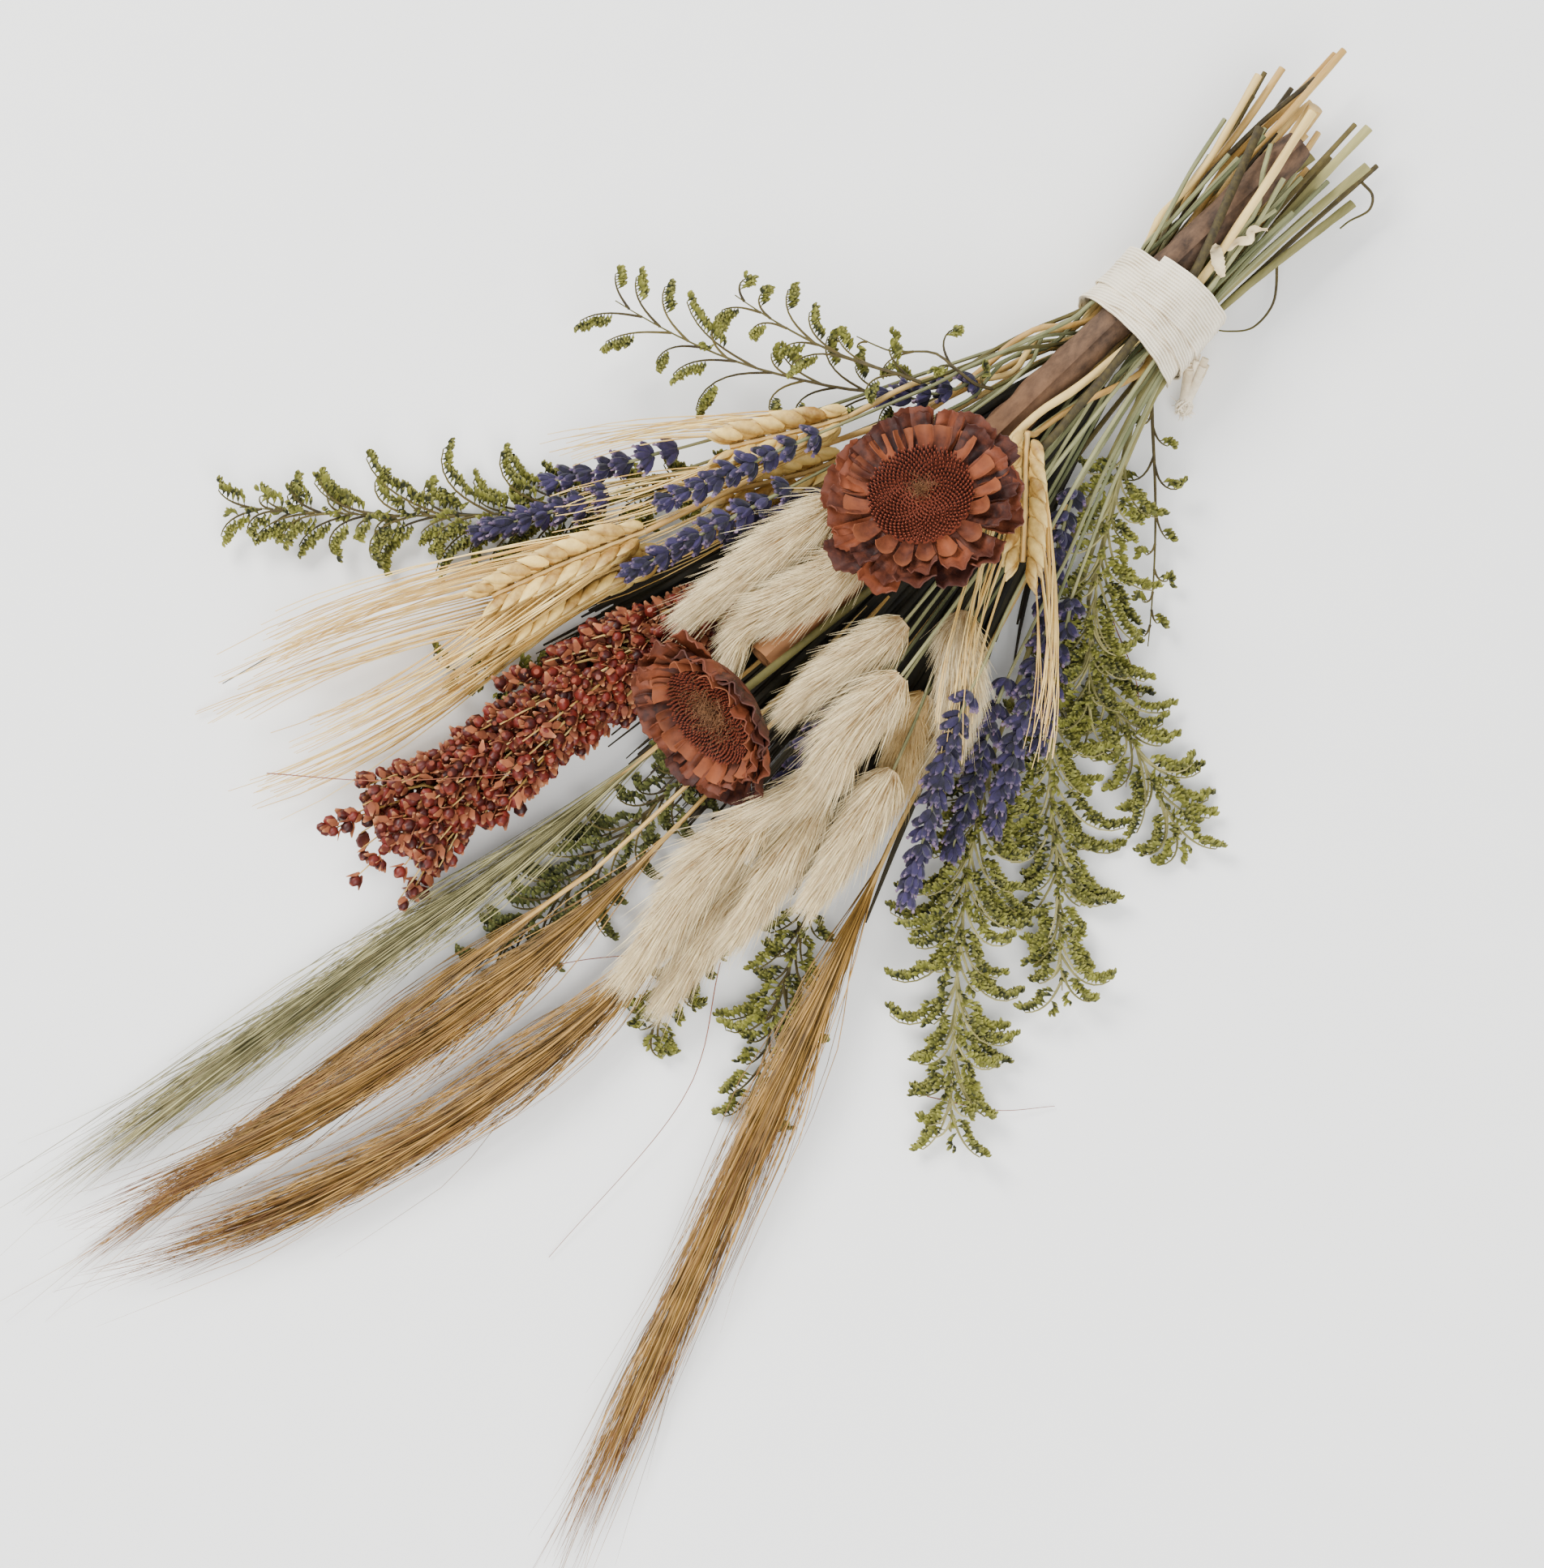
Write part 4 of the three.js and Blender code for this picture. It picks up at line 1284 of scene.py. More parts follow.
    def add_fuzz(self, face: SeedFace) -> None:
        """Adds the tuft of short hairs a little off the middle."""
        n = self.fuzz
        r = np.abs(self.random.normal(scale=self.fuzz_radius * 0.6, size=n))
        r = np.minimum(r, self.face_radius * 0.95)
        out = around(self.wander(n, 0, 2 * math.pi), face.x, face.y)
        foot = face.centre + face.x * 1.5 - face.y + out * r[:, None] + face.normal * 0.4
        way = unit(face.normal * 0.9 + self.random.normal(scale=0.6, size=(n, 3)))
        steps = np.array([0, 0.5, 1.0])
        curl = unit(np.cross(way, face.normal) + 0.01)
        reach = self.wander(n, 1.4, 3.2)[:, None, None]
        shape = way[:, None] * steps[:, None] + curl[:, None] * 0.4 * (steps**2)[:, None]
        radii = np.outer(self.wander(n, 0.09, 0.16), [1, 0.8, 0.3])
        self.thicket.blades(foot[:, None] + shape * reach, radii, 3, Ink.FUZZ, self.wander(n))


# ---- The small shapes ----


class SeedBox:
    """Models every small shape that the plants repeat."""

    def calyx(self) -> Seedling:
        """A plump ribbed lavender calyx with a small mouth."""
        profile = ((0, 0.6), (1.2, 1.35), (3.2, 1.85), (5.2, 1.6), (6.6, 0.95), (7.2, 0.6))
        obj = grow("calyx", 10, [(height, radius, radius) for height, radius in profile])
        pinch_ribs(obj, 10, 0.88)
        hollow_end(obj, 0.16, 0.6)
        bow(obj, 0.5)
        return Seedling.from_object(obj)

    def flake(self) -> Seedling:
        """A crumpled dry corolla."""
        obj = grow("flake", 6, [(-0.6, 0.35, 0.35), (0.6, 0.6, 0.5), (1.5, 0.95, 0.35), (1.9, 0.5, 0.2)])
        pinch_ribs(obj, 6, 0.7)
        return Seedling.from_object(obj)

    def glume(self) -> Seedling:
        """A pointed wheat husk."""
        belly = [(0, 0.7, 0.6), (1.6, 1.7, 1.35), (4.2, 2.1, 1.65)]
        point = [(6.8, 1.5, 1.1), (8.6, 0.6, 0.45), (9.6, 0.2, 0.16)]
        obj = grow("glume", 8, belly + point)
        bow(obj, -0.7)
        return Seedling.from_object(obj)

    def grain(self) -> Seedling:
        """A round sorghum grain."""
        obj = grow("grain", 7, [(0, 0.5, 0.5), (0.9, 1.7, 1.6), (2.3, 1.95, 1.75), (3.7, 0.8, 0.7)])
        return Seedling.from_object(obj)

    def husk(self) -> Seedling:
        """A papery husk that holds a grain."""
        obj = grow("husk", 5, [(-0.5, 0.25, 0.5), (1.2, 0.4, 1.5), (4.0, 0.12, 0.35)])
        bow(obj, 0.9)
        return Seedling.from_object(obj)

    def bud(self) -> Seedling:
        """A sea lavender floret: a narrow papery cup."""
        obj = grow("bud", 3, [(0, 0.25, 0.25), (1.3, 0.78, 0.62), (2.4, 0.35, 0.3)])
        bow(obj, 0.4)
        return Seedling.from_object(obj)

    def peg(self) -> Seedling:
        """A seed of a sugarbush head: a short blunt peg."""
        obj = grow("peg", 6, [(0, 0.42, 0.42), (1.2, 0.52, 0.48), (2.5, 0.22, 0.2)])
        return Seedling.from_object(obj)

    def bract(self) -> Seedling:
        """A crumpled ragged sugarbush bract."""
        return self.scale_leaf("bract", 1.5, 2.2)

    def spoon(self) -> Seedling:
        """A smooth square-ended sugarbush bract."""
        return self.scale_leaf("spoon", 0.2, 3.0)

    def scale_leaf(self, name: str, crumple: float, cup: float) -> Seedling:
        """Models a square-ended bract of the modelled width and length.

        Args:
            name: Its name.
            crumple: How deep its wrinkles are and how ragged its end is.
            cup: How far its edges turn up.

        Returns:
            The shape, growing along its own Z.
        """
        bpy.ops.object.select_all(action="DESELECT")
        bpy.ops.mesh.primitive_grid_add(x_subdivisions=10, y_subdivisions=13, size=MM, location=(0, 0, 0))
        obj = bpy.context.object
        obj.name = name
        for v in obj.data.vertices:
            u, t = v.co.x / MM, v.co.y / MM + 0.5
            wide = LEAF_WIDTH * (0.6 + 0.55 * t - 0.15 * t * t)
            wrinkle = crumple * (0.6 * math.sin(13 * u + 2.1 + 2 * t) + 0.25 * math.sin(17 * t + 6 * u))
            ragged = crumple * (0.45 * math.sin(11 * u + 1.0) + 0.3 * math.sin(27 * u)) * t**3
            rounded = 3.2 * (2 * u) ** 4 * t
            turned = cup * (abs(u) * 2) ** 2 * (0.3 + 0.7 * t)
            height = LEAF_LENGTH * t + ragged - rounded
            v.co = Vector((u * wide, turned + wrinkle * t + 2.4 * t**3, height)) * MM
        solid = obj.modifiers.new("wall", "SOLIDIFY")
        solid.thickness = 0.45 * MM
        solid.offset = 0
        bpy.ops.object.modifier_apply(modifier="wall")
        return Seedling.from_object(obj)


# ---- Cinnamon and tape ----


def loft(thicket: Thicket, rows: Array, ink: Ink, tint: Array, along: Array) -> None:
    """Joins closed loops into a strip of wall and caps its two ends with quads.

    Args:
        thicket: Where the mesh goes.
        rows: The loops, shaped (loops, points, 3); the second half of each runs back along the first.
        ink: The finish.
        tint: The tint at each point of a loop.
        along: The along value of each loop.
    """
    count, n, _ = rows.shape
    k = np.arange(n)
    step = (np.arange(count - 1) * n)[:, None]
    after = (k + 1) % n
    quads = np.stack([k + step, k + n + step, after + n + step, after + step], axis=-1).reshape(-1, 4)
    half = np.arange(n // 2 - 1)
    cap = np.stack([half, half + 1, n - 2 - half, n - 1 - half], axis=1)
    faces = [quads, cap, cap[:, ::-1] + (count - 1) * n]
    centre = rows.reshape(-1, 3).mean(axis=0)
    corners = rows.reshape(-1, 3) - centre
    a, b, c, d = (corners[quads[:, i]] for i in range(4))
    volume = (a * np.cross(b, c)).sum() + (a * np.cross(c, d)).sum()
    if volume < 0:
        faces = [f[:, ::-1] for f in faces]
    thicket.take(rows.reshape(-1, 3), faces, ink, np.tile(tint, count), np.repeat(along, n))


@dataclass
class CinnamonStick:
    """A rolled cinnamon quill: a scroll of rough bark with an open end.

    Attributes:
        node: Its node.
        radius: Its outer radius.
        wall: The thickness of the bark.
        turns: How many times the bark goes round.
        knobs: The height of its roughness.
        stations: How many points it has along.
        round_points: How many points it has round the scroll.
        opening: Where the inner edge of the scroll lies, in radians.
    """

    node: str = "cinnamon_stick"
    radius: float = 6.9
    wall: float = 1.2
    turns: float = 1.9
    knobs: float = 0.28
    stations: int = 150
    round_points: int = 56
    opening: float = 2.4

    def ends(self) -> tuple[Array, Array]:
        """Finds the cut end and the head end of the solid's middle line."""
        points = solid_points(self.node)
        middle = points.mean(axis=0)
        _, _, axes = np.linalg.svd(points - middle, full_matrices=False)
        run = (points - middle) @ axes[0]
        first = points[run > run.max() - 1].mean(axis=0)
        last = points[run < run.min() + 1].mean(axis=0)
        return (first, last) if first[1] > last[1] else (last, first)

    def build(self) -> bpy.types.Object:
        """Makes the scroll, roughens its bark and dresses it."""
        first, last = self.ends()
        stations, count = self.stations, self.round_points
        line = Line(first + np.linspace(0, 1, stations)[:, None] * (last - first))
        turn = np.linspace(0, self.turns * 2 * math.pi, count)
        spiral = self.radius - self.wall * 1.15 * (turn[-1] - turn) / (2 * math.pi)
        section = np.stack([np.cos(turn + self.opening), np.sin(turn + self.opening)], axis=1)
        outer = section * spiral[:, None]
        inner = section * (spiral - self.wall * 0.8)[:, None]
        loop = np.vstack([outer, inner[::-1]])
        random = np.random.default_rng(5)
        rough = random.normal(size=(stations, count))
        for axis, reach in ((0, 3), (1, 2)):
            for _ in range(reach):
                rough = (rough + np.roll(rough, 1, axis=axis) + np.roll(rough, -1, axis=axis)) / 3
        rough = self.knobs * rough / rough.std()
        both = np.concatenate([rough, rough[:, ::-1]], axis=1)
        share = np.linspace(0, 1, stations)
        slim = 1 - 0.16 * np.exp(-share * 60) - 0.1 * np.exp(-(1 - share) * 60)
        scale = slim[:, None] + np.clip(both, -0.5, 0.5) / self.radius
        across = line.side[:, None] * loop[None, :, :1] + line.upright[:, None] * loop[None, :, 1:]
        points = line.points[:, None] + across * scale[..., None]
        thicket = Thicket()
        loft(thicket, points, Ink.BARK, np.full(2 * count, 0.35), share)
        return dress(thicket.harvest("cinnamon_quill", 75), "cinnamon_bark", self.node)


def wave_scale(gap: float) -> float:
    """Works out the scale at which a wave texture's bands lie the given number of millimetres apart."""
    return 2 * math.pi / (20 * gap * MM)


@dataclass
class CottonTape:
    """The tie: a cotton tape wound round the stems, with its tied and frayed end.

    Attributes:
        wrap: The collar's node.
        knot: The tied end's node.
        width: The tape's width.
        thickness: The tape's thickness.
        turns: How many turns it makes.
        wander: How far from the middle of the collar it starts and ends, along the bunch.
        sway: How far it swings to either side of that course.
        steps: How many points it has in a turn.
        columns: How many points it has across.
        row_gap: The distance between its raised rows.
        thread_gap: The distance between its cross threads.
        strips: How many folds the gathered tape has.
        loops: How many loops the knot has.
        threads: How many threads fray from it.
    """

    wrap: str = "cotton_tape_wrap"
    knot: str = "cotton_tape_knot"
    width: float = 17.0
    thickness: float = 0.5
    turns: float = 3.3
    wander: float = 6.0
    sway: float = 3.4
    steps: int = 100
    columns: int = 13
    row_gap: float = 1.25
    thread_gap: float = 0.8
    strips: int = 16
    loops: int = 26
    threads: int = 240

    def outline(self, level: float) -> tuple[Array, Array]:
        """The collar's outer outline at one of its levels.

        Args:
            level: The level, along the bunch.

        Returns:
            The middle of the outline, and its points evenly round it.
        """
        points = solid_points(self.wrap)
        ring = points[np.abs(points[:, 1] - level) < 0.05][:, [0, 2]]
        middle = (ring.min(axis=0) + ring.max(axis=0)) / 2
        angle = np.linspace(0, 2 * math.pi, self.steps, endpoint=False)
        way = np.stack([np.cos(angle), np.sin(angle)], axis=1)
        far = ((ring - middle) @ way.T).max(axis=0)
        far = (far + np.roll(far, 1) + np.roll(far, -1)) / 3
        return middle, middle + way * far[:, None] * 0.985

    def surface(self, turn: Array, y: Array) -> tuple[Array, Array]:
        """Places points on the collar.

        Args:
            turn: How many turns round each point is.
            y: How far along the bunch it is.

        Returns:
            The points and the directions out from the collar there.
        """
        low, high = solid_box(self.wrap)
        levels = np.array([low[1], (low[1] + high[1]) / 2, high[1]])
        rings = [self.outline(level) for level in levels]
        place = (turn % 1.0) * self.steps
        first = place.astype(int) % self.steps
        part = (place - place.astype(int))[..., None]
        flat = [ring[first] * (1 - part) + ring[(first + 1) % self.steps] * part for _, ring in rings]
        x, z = np.zeros(y.shape), np.zeros(y.shape)
        for j in np.ndindex(y.shape):
            x[j], z[j] = (np.interp(y[j], levels, [f[j[0], k] for f in flat]) for k in (0, 1))
        middle = rings[1][0]
        out = unit(np.stack([x - middle[0], np.zeros(y.shape), z - middle[1]], axis=-1))
        return np.stack([x, y, z], axis=-1), out

    def build(self) -> bpy.types.Object:
        """Winds the tape and dresses it."""
        count = int(self.steps * self.turns)
        t = np.linspace(0, self.turns, count)
        shift = self.wander * (2 * t / self.turns - 1) + self.sway * np.sin(math.pi * t - 0.8)
        across = np.linspace(-0.5, 0.5, self.columns)
        pinch = 1 - 0.12 * np.exp(-(((t % 1.0 - 0.9) / 0.12) ** 2))
        y = shift[:, None] + across[None] * self.width * pinch[:, None]
        low, high = solid_box(self.wrap)
        y = np.clip(y, low[1] - 0.8, high[1] + 0.8)
        points, out = self.surface(t, y)
        random = np.random.default_rng(3)
        ripple = random.normal(size=(count, self.columns))
        for _ in range(12):
            ripple = (np.roll(ripple, 1, axis=0) + ripple + np.roll(ripple, -1, axis=0)) / 3
        ripple = 0.14 * ripple / ripple.std()
        lift = (t * 0.62 - 1.9)[:, None] + np.clip(ripple, -0.3, 0.3) + 0.25 * (np.abs(across) * 2)[None] ** 6
        points = points + out * lift[..., None]
        top = points + out * self.thickness * 0.5
        base = points - out * self.thickness * 0.5
        loops = np.concatenate([top, base[:, ::-1]], axis=1)
        edge = np.abs(np.concatenate([across, across[::-1]])) * 2
        thicket = Thicket()
        loft(thicket, loops, Ink.THREAD, edge, t / self.turns)
        obj = thicket.harvest("cotton_tape_band", 60)
        obj.data.materials[0] = self.cotton()
        run = float(np.linalg.norm(np.diff(points[:, self.columns // 2], axis=0), axis=1).sum())
        self.lay_weave(obj, count, run)
        log.info("tape: %.0f mm long, %.0f mm wide", run, self.width)
        return dress(obj, "cotton_tape", self.wrap)

    def lay_weave(self, obj: bpy.types.Object, count: int, run: float) -> None:
        """Gives the band a UV map in metres along and across the tape."""
        layer = obj.data.uv_layers.new(name="weave")
        loops = np.zeros(len(obj.data.loops), int)
        obj.data.loops.foreach_get("vertex_index", loops)
        round_trip = 2 * self.columns
        column = loops % round_trip
        column = np.where(column < self.columns, column, round_trip - 1 - column)
        across = column / (self.columns - 1) * self.width * MM
        along = (loops // round_trip) * run / (count - 1) * MM
        layer.data.foreach_set("uv", np.stack([along, across], axis=1).ravel())

    def cotton(self) -> bpy.types.Material:
        """Woven cream cotton: fine raised rows along the tape, crossed by thin threads, with painted shade in
        the grooves between them.
        """
        recipe = Recipe("cotton_tape")
        shader = recipe.shader
        uv = recipe.add("UVMap", uv_map="weave")
        place = recipe.add("TexCoord")
        rows, threads = (
            recipe.add("TexWave", {"Scale": scale, "Distortion": 0.7, "Detail": 2}, bands_direction=direction)
            for direction, scale in (("Y", wave_scale(self.row_gap)), ("X", wave_scale(self.thread_gap)))
        )
        height = recipe.add("Math", {1: 0.3}, operation="MULTIPLY_ADD")
        noise = recipe.add("TexNoise", {"Scale": 110, "Detail": 5})
        total = recipe.add("Math", {1: 0.45}, operation="MULTIPLY_ADD")
        ramp = recipe.add("ValToRGB")
        # The colour follows the weave's height, so the grooves are painted darker as shade; the noise adds
        # the cotton's own uneven tone.
        for element, position, colour in zip(
            ramp.color_ramp.elements, (0.42, 0.8), (rgb(180, 160, 126), rgb(238, 226, 200))
        ):
            element.position = position
            element.color = (*colour, 1)
        bump = recipe.add("Bump", {"Strength": 0.8, "Distance": 0.0003})
        recipe.join(
            (uv, "UV", rows, "Vector"),
            (uv, "UV", threads, "Vector"),
            (threads, "Fac", height, 0),
            (rows, "Fac", height, 2),
            (place, "Object", noise, "Vector"),
            (height, 0, total, 0),
            (noise, "Fac", total, 2),
            (total, 0, ramp, "Fac"),
            (ramp, "Color", shader, "Base Color"),
            (height, 0, bump, "Height"),
            (bump, "Normal", shader, "Normal"),
        )
        recipe.set({"Roughness": 0.9, "Sheen Weight": 0.15})
        return recipe.material

    def build_knot(self) -> bpy.types.Object:
        """Makes the tied end: gathered tape that hangs from the collar and ends in a frayed knot."""
        low, high = solid_box(self.knot)
        random = np.random.default_rng(11)
        middle = (low + high) / 2
        start = np.array([low[0] + 0.5, high[1] + 2.0, high[2] + 5.0])
        ball = np.array([middle[0], middle[1] - 1.5, middle[2]])
        thicket = Thicket()
        steps = np.linspace(0, 1, 8)
        strips, loops, threads = self.strips, self.loops, self.threads
        side = random.normal(scale=1.6, size=(strips, 3))
        lines = start + (ball - start) * steps[None, :, None] + side[:, None] * (1.2 - steps)[None, :, None]
        thicket.blades(lines, np.full((strips, 8), 1.3), 6, Ink.THREAD, random.uniform(0, 1, strips), 0.6)
        turn = np.linspace(0, 2 * math.pi, 12)
        u = unit(random.normal(size=(loops, 3)))
        v = unit(np.cross(u, random.normal(size=(loops, 3))))
        ring = np.cos(turn)[None, :, None] * u[:, None] + np.sin(turn)[None, :, None] * v[:, None]
        lines = ball + ring * random.uniform(1.6, 3.0, loops)[:, None, None]
        thicket.blades(lines, np.full((loops, 12), 0.42), 5, Ink.THREAD, random.uniform(0, 1, loops))
        way = unit(random.normal(size=(threads, 3)) + [0.25, -0.7, -0.5])
        reach = random.uniform(1.5, 3.4, threads)
        curl = random.normal(scale=0.35, size=(threads, 3))
        shape = way[:, None] * steps[None, :, None] + curl[:, None] * (steps**2)[None, :, None]
        lines = ball + shape * reach[:, None, None]
        thicket.blades(lines, np.full((threads, 8), 0.14), 3, Ink.THREAD, random.uniform(0, 1, threads))
        return dress(thicket.harvest("cotton_tape_fray"), "cotton_tape", self.knot)


# ---- Loose pieces ----


@dataclass
class ShadeFillLeaves:
    """Narrow near-black strips and stalks that lie low between the heads: painted shade, dark shapes put
    where the heads cast their shadow.

    Attributes:
        count: How many there are.
        reach: The least and the greatest length.
        fan: The directions of the outermost ones, in degrees.
        height: The height of the highest at its foot.
        first: How far from the tie they start.
    """

    count: int = 760
    reach: tuple[float, float] = (70.0, 204.0)
    fan: tuple[float, float] = (-22.0, 12.0)
    height: float = 24.0
    first: float = 30.0

    def build(self) -> bpy.types.Object:
        """Fans the dark strips out from under the tie, as painted shade under and between the heads."""
        random = np.random.default_rng(21)
        n = self.count
        angle = np.radians(random.uniform(*self.fan, n))
        way = np.stack([np.sin(angle), -np.cos(angle), np.zeros(n)], axis=1)
        steps = np.linspace(0, 1, 9)
        reach = random.uniform(*self.reach, n)
        lines = way[:, None] * (self.first + steps * reach[:, None])[..., None]
        bend = random.normal(scale=7, size=n)
        lines[..., 0] += bend[:, None] * steps**2
        lines[..., 2] = self.height * (1 - 0.6 * steps) * random.uniform(0.45, 1.0, n)[:, None]
        radii = random.uniform(0.5, 1.5, n)[:, None] * np.array([0.5, 0.8, 1, 1, 1, 0.95, 0.8, 0.6, 0.3])
        thicket = Thicket()
        # These dark strips paint the shade under the heads.
        thicket.blades(lines, radii, 6, Ink.SHADE_LEAF, random.uniform(0, 1, n), 0.3)
        return dress(thicket.harvest("shade_fill_leaves"), "lavender")


@dataclass
class Oddments:
    """The bits that dried flowers shed: two leaf shreds, two twigs and stray hairs."""

    shred_tail: tuple = (
        (3, 29, 32.5), (7, 31.5, 33.6), (8, 35, 33.2), (11, 38, 34), (9, 41, 33.6), (13, 45, 32.6),
    )
    shred_head: tuple = ((2.5, 29, 32.5), (5, 27.5, 34.2), (8.5, 24.5, 34.4), (12, 22.5, 33))
    twig: tuple = (
        (17.5, 45.6, 12.8), (20.4, 43.8, 9), (26.5, 34.6, 6), (26.6, 24.1, 5), (21.3, 17.7, 5), (15, 13, 7),
    )
    curl: tuple = ((23.8, 84.7, 13.6), (29, 84, 12), (31, 80, 9), (28, 74, 6), (27, 70, 5))
    strays: tuple = (
        ((55.5, -85.8, 5.7), (78, -100, 4), (94, -126, 1)),
        ((110.3, -248.8, 4), (130, -238, 3), (144, -224, 1)),
        ((31, -259, 11), (50, -300, 5), (50, -368, 1)),
        ((-123, -307, 16.5), (-88, -286, 32), (-52.5, -254, 36)),
        ((20, -262, 8), (-14, -300, 6), (-20, -345, 1)),
    )

    def ribbon(self, name: str, route: tuple, wide: float, ruffle: float, seed: int) -> bpy.types.Object:
        """Makes a thin ruffled ribbon of dry leaf.

        Args:
            name: The piece's name.
            route: The points that it runs through.
            wide: Its width.
            ruffle: How far its edges wave up and down.
            seed: The random seed.
        """
        random = np.random.default_rng(seed)
        line = Line(smooth_line(np.array(route, float), 40))
        t = np.linspace(0, 1, 40)
        swell = 0.35 + 0.65 * np.sin(math.pi * np.clip(t * 0.9 + 0.08, 0, 1))
        half = wide * 0.5 * swell * random.uniform(0.85, 1.1, 40)
        across = np.linspace(-1, 1, 6)
        wave = ruffle * np.sin(t * 22)[:, None] * across[None] ** 2 * np.sign(across)[None]
        points = line.points[:, None] + line.side[:, None] * (half[:, None] * across)[..., None]
        points = points + line.upright[:, None] * (wave + 0.6 * across[None] ** 2)[..., None]
        lift = line.upright[:, None] * 0.15
        loops = np.concatenate([points + lift, (points - lift)[:, ::-1]], axis=1)
        thicket = Thicket()
        loft(thicket, loops, Ink.LEAF, np.full(12, 0.7), t)
        return dress(thicket.harvest(name, 60), "wheat")

    def rod(self, name: str, route: tuple, radius: float, ink: Ink, slot: str) -> bpy.types.Object:
        """Makes a thin twig or hair that thins towards its end."""
        line = smooth_line(np.array(route, float), 30)
        thicket = Thicket()
        thicket.blades(line[None], np.linspace(radius, radius * 0.5, 30)[None], 6, ink, np.array([0.4]))
        return dress(thicket.harvest(name), slot)

    def build(self) -> None:
        """Makes every loose piece."""
        self.ribbon("leaf_shred_wide", self.shred_head, 4.6, 0.5, 1)
        self.ribbon("leaf_shred_long", self.shred_tail, 2.8, 0.9, 2)
        self.rod("bent_twig", self.twig, 0.55, Ink.DARK_TWIG, "sea_lavender")
        self.rod("curled_twig", self.curl, 0.6, Ink.DARK_TWIG, "sea_lavender")
        for i, route in enumerate(self.strays):
            self.rod(f"stray_hair_{i + 1}", route, 0.2, Ink.RED_HAIR, "brush_grass")


# ---- Surroundings ----


@dataclass
class Studio:
    """The pale floor, the soft lights and the camera.

    Attributes:
        look_at: The point that the camera looks at.
        azimuth: The camera's direction round the bunch, in degrees.
        elevation: Its height over the floor, in degrees.
        distance: Its distance from that point.
        field_height: The length that it sees across at that point.
        lamp_distance: The distance of the lamps.
    """

    look_at: tuple[float, float, float] = (6.0, -203.0, 15.0)
    azimuth: float = 40.0
    elevation: float = 76.0
    distance: float = 2000.0
    field_height: float = 514.4
    lamp_distance: float = 2200.0

    def build(self) -> None:
        """Sets up the floor, the lights, the world and the camera."""
        self.floor()
        self.lights()
        a, e = math.radians(self.azimuth), math.radians(self.elevation)
        back = Vector((math.sin(a) * math.cos(e), -math.cos(a) * math.cos(e), math.sin(e)))
        data = bpy.data.cameras.new("camera")
        data.lens = 36.0 * self.distance / self.field_height
        data.clip_start, data.clip_end = 0.05, 20
        camera = bpy.data.objects.new("camera", data)
        bpy.context.scene.collection.objects.link(camera)
        camera.location = Vector(self.look_at) * MM + back * self.distance * MM
        camera.rotation_mode = "QUATERNION"
        camera.rotation_quaternion = (-back).to_track_quat("-Z", "Y")
        bpy.context.scene.camera = camera

    def floor(self) -> None:
        """Makes the pale floor with the faintest paper grain."""
        bpy.ops.object.select_all(action="DESELECT")
        bpy.ops.mesh.primitive_plane_add(size=8, location=(0, 0, 0))
        plane = bpy.context.object
        plane.name = "floor"
        recipe = Recipe("floor_paper")
        place = recipe.add("TexCoord")
        noise = recipe.add("TexNoise", {"Scale": 40})
        ramp = recipe.add("ValToRGB")
        ramp.color_ramp.elements[0].color = (0.88, 0.88, 0.862, 1)
        ramp.color_ramp.elements[1].color = (0.91, 0.91, 0.892, 1)
        recipe.join(
            (place, "Object", noise, "Vector"),
            (noise, "Fac", ramp, "Fac"),
            (ramp, "Color", recipe.shader, "Base Color"),
        )
        recipe.set({"Roughness": 0.9, "Specular IOR Level": 0.1})
        plane.data.materials.append(recipe.material)

    def lights(self) -> None:
        """Adds an even sky, a soft key at the left and a broad fill at the right."""
        world = bpy.data.worlds.new("sky")
        world.use_nodes = True
        sky = world.node_tree.nodes["Background"]
        sky.inputs["Color"].default_value = (0.93, 0.96, 1.0, 1)
        sky.inputs["Strength"].default_value = 1.0
        bpy.context.scene.world = world
        middle = Vector((0, -0.2, 0))
        for name, direction, size, power, colour in (
            ("key", (-0.95, 0.1, 1.0), 1.1, 76, (1, 0.985, 0.96)),
            ("fill", (0.8, -0.6, 1.3), 1.6, 72, (1, 0.995, 0.985)),
        ):
            data = bpy.data.lights.new(name, "AREA")
            data.size, data.energy, data.color = size, power, colour
            lamp = bpy.data.objects.new(name, data)
            bpy.context.scene.collection.objects.link(lamp)
            way = Vector(direction).normalized()
            lamp.location = middle + way * self.lamp_distance * MM
            lamp.rotation_mode = "QUATERNION"
            lamp.rotation_quaternion = way.to_track_quat("Z", "Y")


BROAD_STEM = {"stem_ink": Ink.OLIVE_STEM, "stem_radius": 1.7, "stem_end": 0.45, "stem_flat": 0.45}

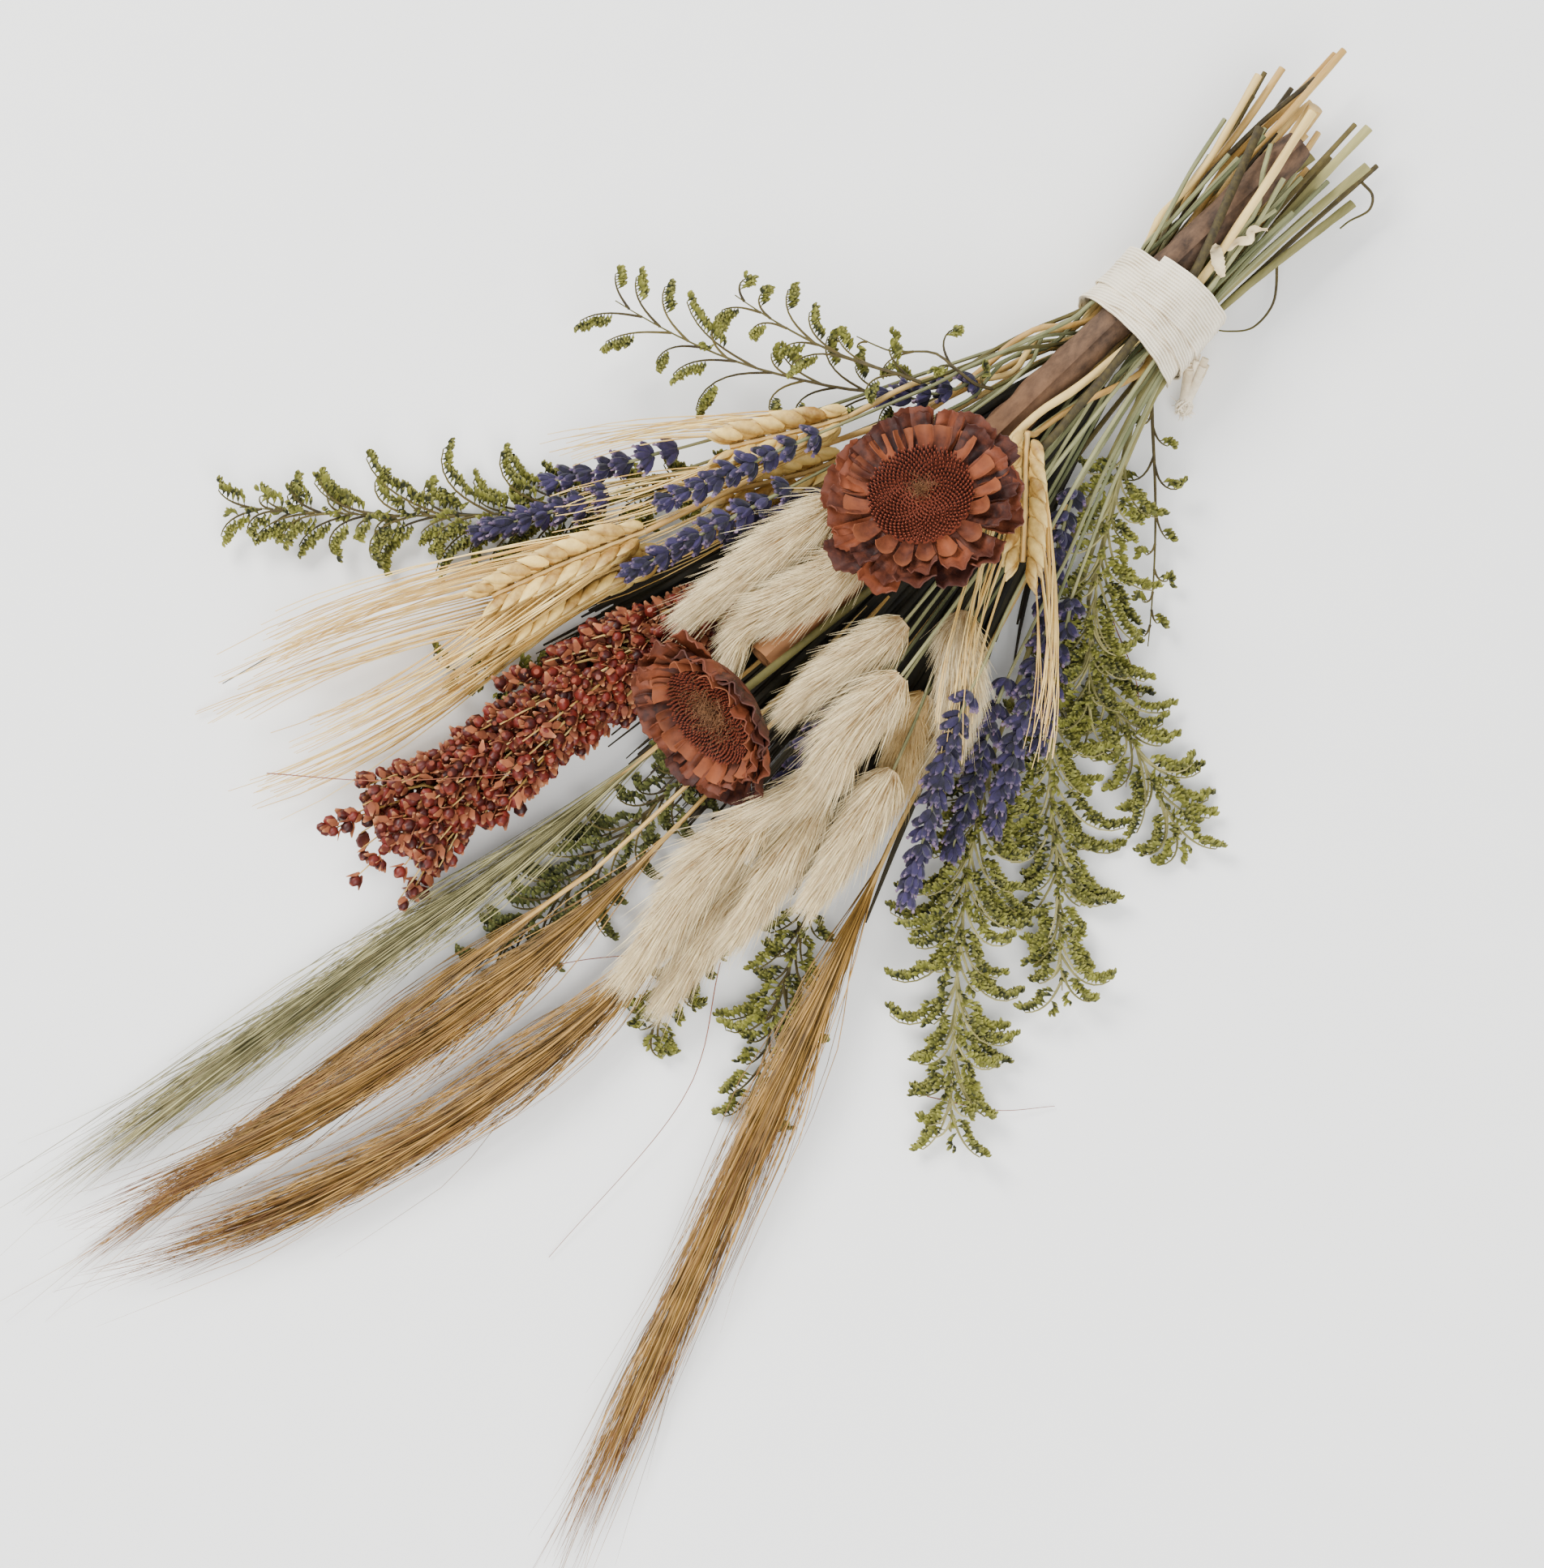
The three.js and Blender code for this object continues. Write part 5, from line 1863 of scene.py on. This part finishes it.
SPRAYS: dict[int, dict] = {
    1: {"wide": 21, "branch_gap": 6.0, "bare": 0.3, "twig_gap": 2.1, "twig": 5.5},
    2: {"wide": 16, "branch_gap": 6.5, "bare": 0.3, "twig_gap": 2.1, "twig": 5.5},
    3: {"wide": 10, "branch_gap": 8.0, "bare": 0.4, "twig_gap": 2.6, "twig": 5.0},
    4: {"wide": 21, "branch_gap": 3.0},
    5: {"wide": 9, "branch_gap": 8.0, "bare": 0.3, "twig_gap": 3.2, "twig": 5.0},
    6: {"wide": 19, "branch_gap": 2.9, **BROAD_STEM},
    7: {"wide": 20, "branch_gap": 3.0, **BROAD_STEM},
    8: {"wide": 21, "branch_gap": 2.6, **BROAD_STEM},
    9: {"wide": 18, "branch_gap": 3.2},
    10: {"wide": 12, "branch_gap": 3.4},
    11: {"wide": 21, "branch_gap": 3.0, "ink": Ink.GREY_FLORET},
    12: {"wide": 9, "branch_gap": 4.5},
    13: {"wide": 20, "branch_gap": 2.7, **BROAD_STEM},
}

PLUMES: dict[int, dict] = {
    1: {"wide": 12, "ink": Ink.OLIVE_BRISTLE, "bristles": 420},
    2: {"wide": 6, "bristles": 170},
    3: {"wide": 12},
    4: {"wide": 13},
    5: {"wide": 13, "bristles": 600},
}


def main() -> None:
    """Builds the surroundings, then the bunch."""
    logging.basicConfig(level=logging.INFO, format="%(name)s: %(message)s")
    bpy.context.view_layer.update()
    Studio().build()
    box = SeedBox()
    CinnamonStick().build()
    bud = box.bud()
    for number, sizes in SPRAYS.items():
        SeaLavender(number=number, bud=bud, **sizes).build()
    for number, sizes in PLUMES.items():
        BrushGrass(number=number, **sizes).build()
    glume = box.glume()
    for number in range(1, 6):
        Wheat(number=number, glume=glume).build()
    Sorghum(number=1, grain=box.grain(), husk=box.husk()).build()
    calyx, flake = box.calyx(), box.flake()
    for number in range(1, 13):
        Lavender(number=number, calyx=calyx, flake=flake).build()
    for number in range(1, 11):
        BunnyTail(number=number, hair_ink=Ink.GOLD_HAIR if number == 6 else Ink.BUNNY_HAIR).build()
    shapes = {"bract": box.bract(), "spoon": box.spoon(), "peg": box.peg()}
    Sugarbush(number=1, **shapes).build()
    leaning = {"tip_over": 20.0, "cupped": 0.45, "fuzz": 900, "fuzz_radius": 11.0}
    Sugarbush(number=2, stem_ink=Ink.DARK_TWIG, **leaning, **shapes).build()
    tape = CottonTape()
    tape.build()
    tape.build_knot()
    ShadeFillLeaves().build()
    Oddments().build()


if __name__ == "__main__":
    main()
